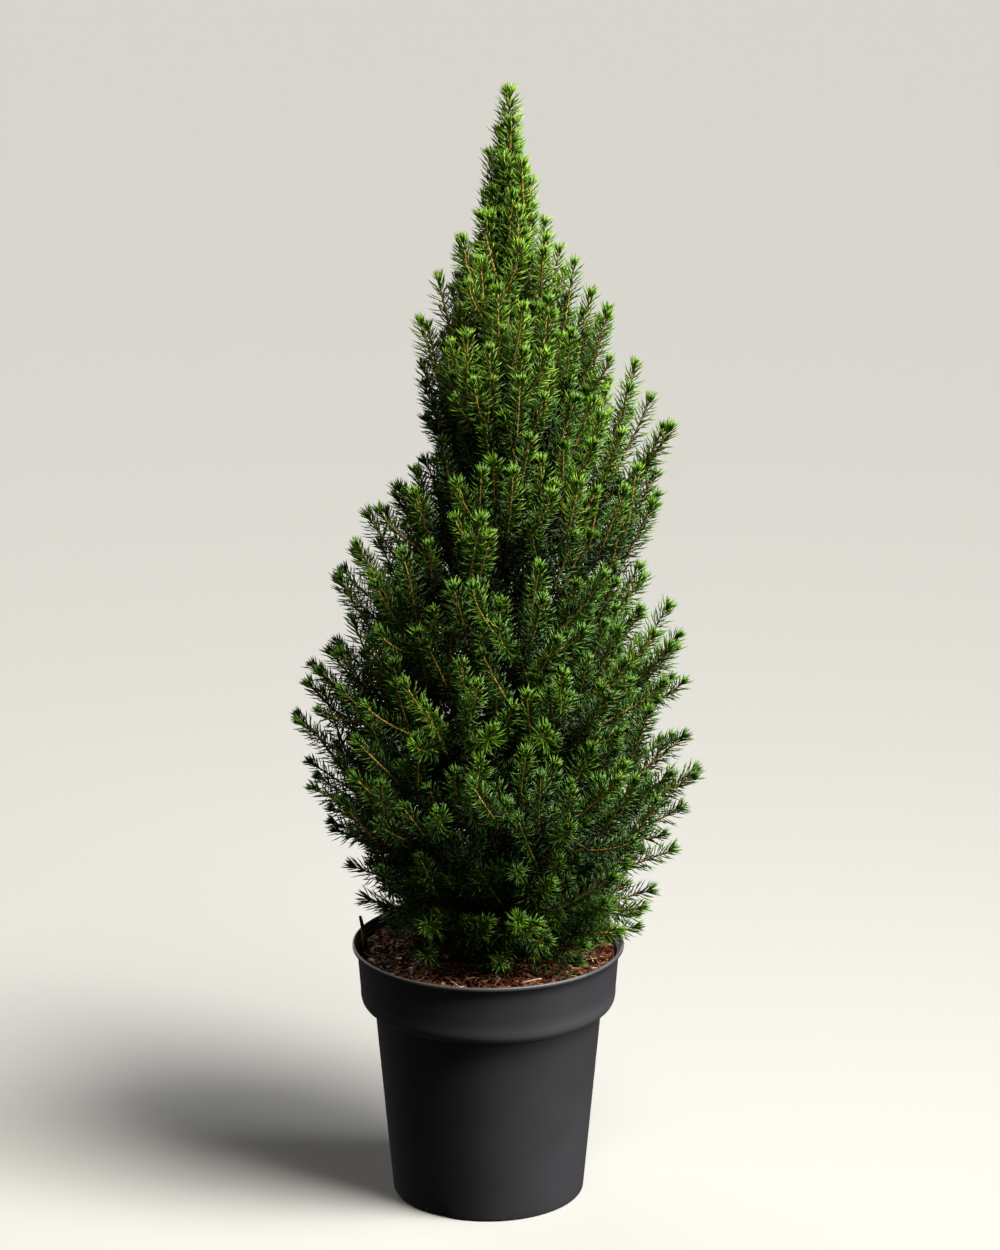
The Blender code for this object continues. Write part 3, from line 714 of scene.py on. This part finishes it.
def add_node(tree, kind, **values):
    """A new shader node; values are inputs by name, with _ for a space."""
    node = tree.nodes.new("ShaderNode" + kind)
    for name, value in values.items():
        node.inputs[name.replace("_", " ")].default_value = value
    return node


def new_material(name, colour, roughness):
    made = bpy.data.materials.new(name)
    made.use_nodes = True
    shader = made.node_tree.nodes["Principled BSDF"]
    shader.inputs["Base Color"].default_value = (*colour, 1.0)
    shader.inputs["Roughness"].default_value = roughness
    return made, made.node_tree, shader


def object_noise(tree, scale, detail):
    """Socket with noise in the object's own space."""
    place = add_node(tree, "TexCoord")
    grain = add_node(tree, "TexNoise", Scale=scale, Detail=detail)
    tree.links.new(place.outputs["Object"], grain.inputs["Vector"])
    return grain.outputs["Fac"]


def height_share(tree, low, high):
    """Socket that goes from 0 at height low to 1 at height high."""
    place, split = add_node(tree, "TexCoord"), add_node(tree, "SeparateXYZ")
    level = add_node(tree, "MapRange", From_Min=low, From_Max=high)
    tree.links.new(place.outputs["Object"], split.inputs["Vector"])
    tree.links.new(split.outputs["Z"], level.inputs["Value"])
    return level.outputs["Result"]


def colour_ramp(tree, factor, *stops):
    """Socket with a colour that runs through stops of (position, colour)."""
    ramp = add_node(tree, "ValToRGB")
    tree.links.new(factor, ramp.inputs["Fac"])
    elements = ramp.color_ramp.elements
    for element, (position, colour) in zip(elements, (stops[0], stops[-1])):
        element.position, element.color = position, (*colour, 1.0)
    for position, colour in stops[1:-1]:
        elements.new(position).color = (*colour, 1.0)
    return ramp.outputs["Color"]


def mixed(tree, factor, under, over):
    """Socket with one colour laid over another by a factor."""
    mix = tree.nodes.new("ShaderNodeMix")
    mix.data_type = "RGBA"
    mix.inputs["B"].default_value = (*over, 1.0)
    tree.links.new(factor, mix.inputs["Factor"])
    tree.links.new(under, mix.inputs["A"])
    return mix.outputs["Result"]


def add_relief(tree, shader, height, strength, distance):
    relief = add_node(tree, "Bump", Strength=strength, Distance=distance)
    tree.links.new(height, relief.inputs["Height"])
    tree.links.new(relief.outputs["Normal"], shader.inputs["Normal"])


def mottled_material(name, dark, light, roughness, scale, bump=0.0, detail=6.0):
    """Two colours mixed by noise, with a bump of the same grain."""
    made, tree, shader = new_material(name, light, roughness)
    grain = object_noise(tree, scale, detail)
    tree.links.new(colour_ramp(tree, grain, (0.35, dark), (0.65, light)), shader.inputs["Base Color"])
    if bump:
        add_relief(tree, shader, grain, 0.6, bump)
    return made


def needle_material(name, colour):
    """Needle green that varies a little from one needle to the next."""
    made, tree, shader = new_material(name, colour, 0.33)
    shader.inputs["Specular IOR Level"].default_value = 0.38
    island = add_node(tree, "NewGeometry")
    red, green, blue = colour
    dark = (red * 0.44, green * 0.44, blue * 0.44)
    light = (red * 1.35, green * 1.25, blue * 1.2)
    frosted = (red * 1.9 + 0.030, green * 1.5 + 0.030, blue * 1.3 + 0.006)
    mix = colour_ramp(tree, island.outputs["Random Per Island"], (0.0, dark), (0.72, light), (1.0, frosted))
    tree.links.new(mix, shader.inputs["Base Color"])
    return made


def coat(obj, *look):
    """Gives an object a mottled material of its own."""
    obj.data.materials.append(mottled_material(*look))


def pot_material():
    """Matte black plastic, with painted highlights: paler bands round the top of the lip and along the
    lower edge of the collar.
    """
    made, tree, shader = new_material("pot_plastic_matte", (0.018, 0.0185, 0.021), 0.46)
    shader.inputs["Specular IOR Level"].default_value = 0.45
    fine, broad = object_noise(tree, 1400.0, 2.0), object_noise(tree, 14.0, 4.0)
    colour = colour_ramp(tree, broad, (0.3, (0.0240, 0.0241, 0.0265)), (0.75, (0.0350, 0.0352, 0.0405)))
    # Painted highlight: a thin paler band just above the lower edge of the collar
    collar_highlight = colour_ramp(
        tree,
        height_share(tree, COLLAR_BOTTOM - 0.002, COLLAR_BOTTOM + 0.018),
        *((position, (grey, grey, grey)) for position, grey in COLLAR_HIGHLIGHT_BAND),
    )
    colour = mixed(tree, collar_highlight, colour, (0.085, 0.086, 0.092))
    # Painted highlight: a paler band round the top of the lip
    lip = height_share(tree, POT_HEIGHT - 0.0020, POT_HEIGHT - 0.0002)
    colour = mixed(tree, lip, colour, (0.085, 0.086, 0.090))
    tree.links.new(colour, shader.inputs["Base Color"])
    rough = add_node(tree, "MapRange", To_Min=0.38, To_Max=0.50)
    tree.links.new(broad, rough.inputs["Value"])
    tree.links.new(rough.outputs["Result"], shader.inputs["Roughness"])
    add_relief(tree, shader, fine, 0.25, 0.00008)
    return made


def along_line(start, end, shares):
    return [(between(start[0], end[0], share), between(start[1], end[1], share)) for share in shares]


def arc(centre, radius, start, end, count):
    """Points (radius from the axis, height) round an arc; radius may be a pair for an ellipse."""
    across, up = radius if isinstance(radius, tuple) else (radius, radius)
    turns = np.radians(np.linspace(start, end, count))
    return [(centre[0] + across * math.cos(t), centre[1] + up * math.sin(t)) for t in turns]


def pot_inside():
    """Profile from the middle of the pot's floor up its inner wall."""
    corner = POT_BASE_RADIUS - POT_WALL - 0.002
    shoulder = (COLLAR_BOTTOM_RADIUS - POT_WALL, SHOULDER_TOP)
    top = (COLLAR_TOP_RADIUS - POT_WALL, POT_HEIGHT)
    return [
        (0, POT_FLOOR),
        (corner, POT_FLOOR),
        *arc((corner, POT_FLOOR + 0.002), 0.002, -90, 0, 5)[1:],
        (POT_BODY_TOP_RADIUS - POT_WALL, COLLAR_BOTTOM + POT_WALL),
        *along_line(shoulder, top, (0, 0.5)),
    ]


def pot_lip():
    """Profile of the lip: it flares out of the wall, rolls over, and meets the collar in a small step."""
    lip_round, edge_round, flare = 0.0011, 0.0006, 0.0004
    wall, low = COLLAR_TOP_RADIUS - POT_WALL, POT_HEIGHT - LIP_HEIGHT
    flare_radii = (LIP_RADIUS - 2 * lip_round - wall + flare, 0.0046)
    return [
        (wall, POT_HEIGHT - 0.0062),
        *arc((wall - flare, POT_HEIGHT - lip_round), flare_radii, -80, 0, 7),
        *arc((LIP_RADIUS - lip_round, POT_HEIGHT - lip_round), lip_round, 180, 0, 11)[1:],
        *arc((LIP_RADIUS - edge_round, low + edge_round), edge_round, 0, -90, 4),
        (COLLAR_TOP_RADIUS + edge_round, low),
        *arc((COLLAR_TOP_RADIUS + edge_round, low - edge_round), edge_round, 90, 180, 4)[1:],
    ]


def pot_outside():
    """Profile from below the lip down the collar, round its lower edge and down the body."""
    body = POT_BODY_TOP_RADIUS
    collar_top = (COLLAR_TOP_RADIUS, POT_HEIGHT - LIP_HEIGHT - 0.0006)
    profile = along_line(collar_top, (COLLAR_BOTTOM_RADIUS, SHOULDER_TOP), (0.25, 0.5, 0.75))
    drop, inset = SHOULDER_TOP - COLLAR_BOTTOM, COLLAR_BOTTOM_RADIUS - body
    for turn in np.radians(np.linspace(0, 90, 28)):
        out, down = inset * math.cos(turn) ** SHOULDER_FULLNESS, drop * math.sin(turn) ** SHOULDER_FULLNESS
        if out > COLLAR_STEP:
            profile.append((body + out, SHOULDER_TOP - down))
    edge_radius, edge_height = profile[-1]
    profile += arc((edge_radius - 0.0007, edge_height - 0.0004), 0.0006, -10, -95, 5)
    profile += [
        (body + COLLAR_STEP * 0.4, edge_height - 0.0006),
        (body + 0.0010, COLLAR_BOTTOM + 0.0009),
        (body + 0.0002, COLLAR_BOTTOM + 0.0010),
        (body - 0.0001, COLLAR_BOTTOM + 0.0004),
        (body - 0.0001, COLLAR_BOTTOM - 0.0010),
    ]
    top, foot = (body, COLLAR_BOTTOM - 0.0008), (POT_BASE_RADIUS, FOOT_ROUND)
    return profile + along_line(top, foot, (0.15, 0.3, 0.45, 0.6, 0.75, 0.9, 0.96))


def cut_notches(points, angles):
    """Drainage slots in the foot: shallow arches let into its lower edge."""
    window = np.zeros(len(angles))
    for bearing in NOTCH_BEARINGS:
        off = (angles - math.radians(bearing) + math.pi) % (math.tau) - math.pi
        window = np.maximum(window, np.clip((NOTCH_HALF_WIDTH - np.abs(off)) / 0.05, 0, 1))
    window = window * window * (3 - 2 * window)
    last = len(points) - len(FOOT_INSETS)
    for row in range(last - FOOT_ROWS, last + 1):
        points[row, :, 2] += NOTCH_HEIGHT * window


def make_pot():
    profile = pot_inside() + pot_lip() + pot_outside()
    profile += arc((POT_BASE_RADIUS - FOOT_ROUND, FOOT_ROUND), FOOT_ROUND, 0, -90, FOOT_ROWS)
    profile += [*((POT_BASE_RADIUS - inset, 0.0) for inset in FOOT_INSETS), (0, 0.0)]
    pot = lathe("pot_moulded", profile, POT_SEGMENTS, cut_notches)
    pot.data.materials.append(pot_material())
    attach(pot, "root")
    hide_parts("pot")


def soil_height(x, y):
    radius = math.hypot(x, y)
    rough = noise.noise(Vector((x, y, 0.3)) * 70) * 0.0016 + noise.noise(Vector((x, y, 0.9)) * 25) * 0.0022
    edge = 0.0015 * max(0.0, (radius - 0.07) / 0.02)
    return SOIL_TOP - 0.0012 + rough - edge


def settle_soil(points, angles):
    """Uneven top for the soil; a turned surface passes its angles too."""
    for row in points[:SOIL_RINGS]:
        for point in row:
            point[2] = soil_height(point[0], point[1])


def make_soil():
    profile = [(0, SOIL_TOP)] + [(SOIL_RADIUS * (i + 1) / SOIL_RINGS, SOIL_TOP) for i in range(SOIL_RINGS)]
    profile += [(SOIL_RADIUS - 0.001, 0.150), (SOIL_RADIUS - 0.0115, 0.1405), (0, 0.1405)]
    soil = lathe("potting_soil", profile, 120, settle_soil)
    coat(soil, "soil_dark", (0.006, 0.0025, 0.0012), (0.046, 0.016, 0.007), 0.95, 320.0, 0.0006)
    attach(soil, "root")
    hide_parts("soil")

    rng = np.random.default_rng(SEED)
    for name, count, lengths, light, dark in CHIPS:
        chips = bark_chips(name, count, lengths, rng)
        coat(chips, name, dark, light, 0.62, 260.0, 0.0003)
        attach(chips, "root")
    fibres = tubes("mulch_fibres", [fibre(rng) for _ in range(FIBRES)], 4)
    coat(fibres, "coir_fibre", (0.090, 0.026, 0.009), (0.50, 0.200, 0.075), 0.6, 150.0)
    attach(fibres, "root")


def turned(a, b, angles):
    """Two coordinates of many pieces' points, each piece turned by its own angle."""
    c, s = np.cos(angles)[:, None], np.sin(angles)[:, None]
    return a * c - b * s, a * s + b * c


def bark_chips(name, count, lengths, rng):
    """Flat splinters of bark strewn over the soil, all within the pot's wall."""
    radius = CHIP_SPREAD * np.sqrt(rng.uniform(0.02, 1, count))
    bearing = rng.uniform(0, math.tau, count)
    length = rng.uniform(*lengths, count)
    width, depth = length * rng.uniform(0.12, 0.38, count), rng.uniform(0.0005, 0.0013, count)
    size = np.stack([length, width, depth], axis=1) / 2
    yaw, tilt, roll = rng.uniform(0, math.pi, count), rng.normal(0, 0.28, count), rng.normal(0, 0.4, count)
    local = BOX_POINTS[None] * size[:, None] * rng.uniform(0.55, 1.15, (count, 8, 3))
    x, z = turned(local[..., 0], local[..., 2], tilt)
    y, z = turned(local[..., 1], z, roll)
    x, y = turned(x, y, yaw)
    middle_x, middle_y = radius * np.cos(bearing), radius * np.sin(bearing)
    base = np.array([soil_height(*place) for place in zip(middle_x, middle_y)])
    outside = np.maximum(radius + length / 2 - CHIP_LIMIT, 0)
    inwards = 1 - outside / radius
    lift = rng.uniform(-0.0004, 0.0012, count)
    points = np.stack([
        (middle_x * inwards)[:, None] + x,
        (middle_y * inwards)[:, None] + y,
        base[:, None] + 0.0006 + z + lift[:, None],
    ], axis=2)
    return repeated(name, points, BOX_FACES, smooth=False)


def fibre(rng):
    """(line, radii) of one coir fibre that lies on the soil in a shallow bow."""
    radius, bearing = FIBRE_SPREAD * math.sqrt(rng.uniform(0.03, 1)), rng.uniform(0, math.tau)
    yaw, length = rng.uniform(0, math.tau), rng.uniform(0.006, 0.020)
    way = direction(yaw)
    t = np.linspace(0, 1, 6)[:, None]
    bow = np.cross(UP, way) * np.sin(t * math.pi) * length * rng.uniform(-0.25, 0.25)
    line = radius * direction(bearing) + way * length * t + bow
    far = np.hypot(line[:, 0], line[:, 1])
    line[:, :2] *= np.minimum(1, FIBRE_LIMIT / np.maximum(far, 1e-6))[:, None]
    line[:, 2] = [soil_height(*place) for place in line[:, :2]]
    line[:, 2] += rng.uniform(0.0006, 0.0016) + np.sin(t[:, 0] * math.pi) * rng.uniform(0, 0.0022)
    return line, np.full(6, rng.uniform(0.00018, 0.00034))


def make_straws():
    """A few bits of straw that lie loose on the soil."""
    own = random.Random(SEED + 4)
    straws = []
    for x, y, yaw, length in STRAWS:
        t = np.linspace(-0.5, 0.5, 7)[:, None]
        way = direction(math.radians(yaw))
        bow = np.cross(UP, way) * (0.25 - t**2) * length * own.uniform(-0.3, 0.3)
        line = np.array((x, y, 0.0)) + way * length * t + bow
        line[:, 2] = SOIL_TOP + 0.0018 + (t[:, 0] + 0.5) * own.uniform(0.0, 0.003)
        straws.append((line, np.full(7, own.uniform(0.00040, 0.00060))))
    made = tubes("straw_bits", straws, 6)
    coat(made, "straw", (0.40, 0.24, 0.09), (0.72, 0.52, 0.26), 0.6, 300.0, 0.0001)
    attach(made, "root")


def strip_sheet(offset, rows, turns):
    """Points of one face of the bark strip, a little curled and narrower towards its top."""
    bearing = np.radians(STRIP_BEARING)
    across = np.linspace(-0.5, 0.5, turns)
    curl = STRIP_CURL * np.abs(across * 2) ** 2
    points = []
    for share in np.linspace(0.0, 1.0, rows):
        taper = 1.0 - 0.75 * max(share - STRIP_TAPER_FROM, 0.0) / (1 - STRIP_TAPER_FROM)
        turn = bearing + across * STRIP_WIDTH / STRIP_RADIUS * taper + STRIP_DRIFT * share**2
        rough = np.array([noise.noise(Vector((a * 60, share * 9, offset * 900))) * 0.0004 for a in turn])
        radius = STRIP_RADIUS - offset - curl + STRIP_LEAN * share**2 + rough
        height = np.full(turns, between(SOIL_TOP - 0.004, STRIP_TOP, share)) + rough * 2
        points.append(np.stack([radius * np.cos(turn), radius * np.sin(turn), height], axis=1))
    return points


def make_bark_strip():
    """The strip of bark that stands in the soil against the rim, dark at its top."""
    rows, turns = 26, 9
    points = np.array([strip_sheet(offset, rows, turns) for offset in (0.0, STRIP_THICKNESS)])
    number = np.arange(2 * rows * turns).reshape(2, rows, turns)
    faces = []
    for sheet, flip in ((0, False), (1, True)):
        a, b = number[sheet, :-1, :-1].ravel(), number[sheet, :-1, 1:].ravel()
        c, d = number[sheet, 1:, 1:].ravel(), number[sheet, 1:, :-1].ravel()
        faces.append(np.stack([a, d, c, b] if flip else [a, b, c, d], axis=1))
    front = number[0]
    edge = np.concatenate([front[:, 0], front[-1, 1:], front[-2::-1, -1], front[0, -2:0:-1]])
    twin = edge + rows * turns
    faces.append(np.stack([edge, np.roll(edge, -1), np.roll(twin, -1), twin], axis=1))
    strip = mesh_object("bark_strip", points.reshape(-1, 3), halves(np.concatenate(faces)))

    look = mottled_material("bark_strip", (0.30, 0.120, 0.034), (0.66, 0.34, 0.120), 0.75, 220.0, 0.0003)
    tree = look.node_tree
    base = tree.nodes["Principled BSDF"].inputs["Base Color"]
    top = height_share(tree, STRIP_DARK_FROM, STRIP_DARK_FROM + STRIP_DARK_BLEND)
    tree.links.new(mixed(tree, top, base.links[0].from_socket, (0.020, 0.013, 0.008)), base)
    strip.data.materials.append(look)
    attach(strip, "root")


def make_trunk(boughs):
    heights = between(TRUNK_BASE - 0.0025, TRUNK_TIP, np.linspace(0, 1, 260) ** 1.15)
    line = np.array([trunk_axis(z) for z in heights])
    radii = np.array([trunk_radius(max(z, TRUNK_BASE)) for z in heights])
    trunk = tubes("trunk_bark", [(line, radii)], 30)
    roughen(trunk, 0.0007)
    lines = []
    for bough in boughs:
        start = bough[0] - unit(bough[1] - bough[0]) * 0.004
        whole = np.concatenate([start[None], bough])
        steps = np.linspace(0, 1, len(whole))
        radii = between(BOUGH_BASE_RADIUS, BOUGH_TIP_RADIUS, steps)
        lines.append((whole, radii * (1 + 0.35 * np.exp(-steps * 9))))
    limbs = tubes("bough_bark", lines, 14)
    roughen(limbs, 0.00035)
    dark, light = (0.035, 0.022, 0.014), (0.130, 0.080, 0.050)
    bark = mottled_material("bark_scaly", dark, light, 0.88, 240.0, 0.0008, 10.0)
    for made in (trunk, limbs):
        made.data.materials.append(bark)
        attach(made, "root")
    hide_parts("trunk")
    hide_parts(*[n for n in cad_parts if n.startswith("bough_")])


def roughen(obj, depth):
    """Bark relief: small scales and ridges, pushed out along the surface's own normal."""
    for vertex in obj.data.vertices:
        at = vertex.co
        scale = noise.noise(Vector((at.x * 260, at.y * 260, at.z * 150)))
        ridge = abs(noise.noise(Vector((at.x * 420, at.y * 420, at.z * 90)) + Vector((7, 3, 1))))
        vertex.co = at + vertex.normal * depth * (scale * 0.9 - ridge * 0.8)


def needle_packs(shoots):
    """Needles of all shoots, dealt out by (zone, tone): the tone is the shoot's, lighter further up, partly
    the upper growth's own paler green and partly painted light; shaded shoots take the darker tones as
    painted shade.
    """
    rng = np.random.default_rng(SEED + 2)
    packs = {}
    for shoot in shoots:
        height = shoot.line[-1][2]
        low = height < LOW_SHOOTS_UNDER
        if low:
            shoot.size *= LOW_SHOOT_SIZE
        *needles, zone = shoot_needles(shoot, rng)
        share = min((height - TRUNK_BASE) / (TREE_TOP - TRUNK_BASE), TONE_TOP)
        # Painted light: the tone rises with the shoot's height, and the lowest shoots get one tone lighter
        # where the crown above shades them
        tone = share * TONE_RISE + shoot.tint * TONE_SPREAD + TONE_SHIFT + low
        tone = int(np.clip(tone, 0, SHADED_TONE - 0.01))
        half = int(shoot.tint * 2)
        for z in range(OLD_ZONE + 1):
            chosen = zone == z
            if chosen.any():
                # Painted shade: shaded shoots inside the crown take the darker tones 4 and 5
                shaded = SHADED_TONE + half * (z > 0)
                key = (z, half if z == OLD_ZONE else shaded if shoot.shaded else tone)
                packs.setdefault(key, []).append([part[chosen] for part in needles])
    return packs


def make_twigs(shoots):
    """Young twigs, tan where their growth is in the light, and the brown wood that they grow on; the young
    growth of shaded shoots is brown too, as painted shade.
    """
    young, old = [], []
    for shoot in shoots:
        turn = shoot.length - max(shoot.growth, 0.004)
        steps = np.linspace(turn, shoot.length, 7)
        share = (steps - turn) / (shoot.length - turn)
        middle = between(shoot.foot_radius, YOUNG_RADIUS, min(turn / shoot.length * 1.6, 1.0))
        # Painted shade: young growth on shaded shoots goes with the older wood, in its brown
        tan = shoot.growth and not shoot.shaded
        (young if tan else old).append((shoot.at(steps), between(middle, SHOOT_RADIUS, share)))
        steps = np.linspace(0, turn + 0.001, 6)
        old.append((shoot.at(steps), between(shoot.foot_radius, middle, steps / (turn + 0.001))))
    twigs, stems = tubes("twigs_young", young, 5), tubes("twigs_old_and_shaded", old, 4)
    coat(twigs, "twig_tan", (0.190, 0.108, 0.018), (0.520, 0.335, 0.075), 0.5, 700.0, 0.0002)
    coat(stems, "twig_brown", (0.016, 0.010, 0.005), (0.066, 0.038, 0.016), 0.85, 400.0, 0.0003)
    return twigs, stems


def make_foliage(shoots):
    packs = needle_packs(shoots)
    made = []
    for zone, tone in sorted(packs):
        name, colour = LOOKS[zone, tone]
        parts = [np.concatenate(column) for column in zip(*packs[zone, tone])]
        plain = zone == OLD_ZONE or tone >= SHADED_TONE
        obj = (spindle_mesh if plain else needle_mesh)(name, *parts)
        obj.data.materials.append(needle_material(name, colour))
        made.append(obj)
    for obj in make_twigs(shoots):
        made.append(obj)
    foliage = [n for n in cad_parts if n.startswith("foliage_") or n == "leader"]
    for obj in made:
        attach(obj, "root")
        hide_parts(*foliage)


def add_light(name, kind, colour, aim):
    data = bpy.data.lights.new(name, kind)
    data.color = colour
    made = linked(name, data)
    made.rotation_mode = "QUATERNION"
    made.rotation_quaternion = aim.to_track_quat("-Z", "Y")
    return made


def make_world():
    """Weak even light from all round, behind a pale backdrop that only the camera sees."""
    world = bpy.data.worlds.new("studio")
    bpy.context.scene.world = world
    world.use_nodes = True
    tree = world.node_tree
    dim = tree.nodes["Background"]
    dim.inputs["Color"].default_value, dim.inputs["Strength"].default_value = AMBIENT, AMBIENT_STRENGTH
    bright = add_node(tree, "Background", Color=BACKDROP, Strength=1.0)
    path, mix = add_node(tree, "LightPath"), add_node(tree, "MixShader")
    tree.links.new(path.outputs["Is Camera Ray"], mix.inputs["Fac"])
    tree.links.new(dim.outputs["Background"], mix.inputs[1])
    tree.links.new(bright.outputs["Background"], mix.inputs[2])
    tree.links.new(mix.outputs["Shader"], tree.nodes["World Output"].inputs["Surface"])


def make_stage():
    bpy.ops.mesh.primitive_circle_add(vertices=96, radius=FLOOR_RADIUS, fill_type="NGON")
    floor = bpy.context.active_object
    floor.name = "floor"
    paper = mottled_material("floor_pale", FLOOR_DARK, FLOOR_LIGHT, 1.0, 900.0)
    paper.node_tree.nodes["Principled BSDF"].inputs["Specular IOR Level"].default_value = 0.0
    floor.data.materials.append(paper)
    floor.visible_diffuse = floor.visible_glossy = False

    make_world()
    bpy.context.scene.view_settings.view_transform = "Standard"
    for name, strength, width, direction, colour in SUNS:
        sun = add_light(name, "SUN", colour, Vector(direction))
        sun.data.energy, sun.data.angle = strength, math.radians(width)
    aim = Vector(TOP_LIGHT_AIM) - Vector(TOP_LIGHT_PLACE)
    top = add_light("softbox_top", "AREA", TOP_LIGHT_COLOUR, aim)
    top.data.size, top.data.energy = TOP_LIGHT_SIZE, TOP_LIGHT_WATTS
    top.location = TOP_LIGHT_PLACE
    top.visible_camera = False

    data = bpy.data.cameras.new("camera")
    data.lens, data.sensor_width = LENS_MM, SENSOR_MM
    data.clip_start, data.clip_end = CLIP
    camera = linked("camera", data)
    camera.location = CAMERA_PLACE
    camera.rotation_euler = (math.radians(90 - CAMERA_PITCH), 0, 0)
    bpy.context.scene.camera = camera


boughs, shoots = grow_crown()
make_pot()
make_soil()
make_straws()
make_bark_strip()
make_trunk(boughs)
make_foliage(shoots)
make_stage()
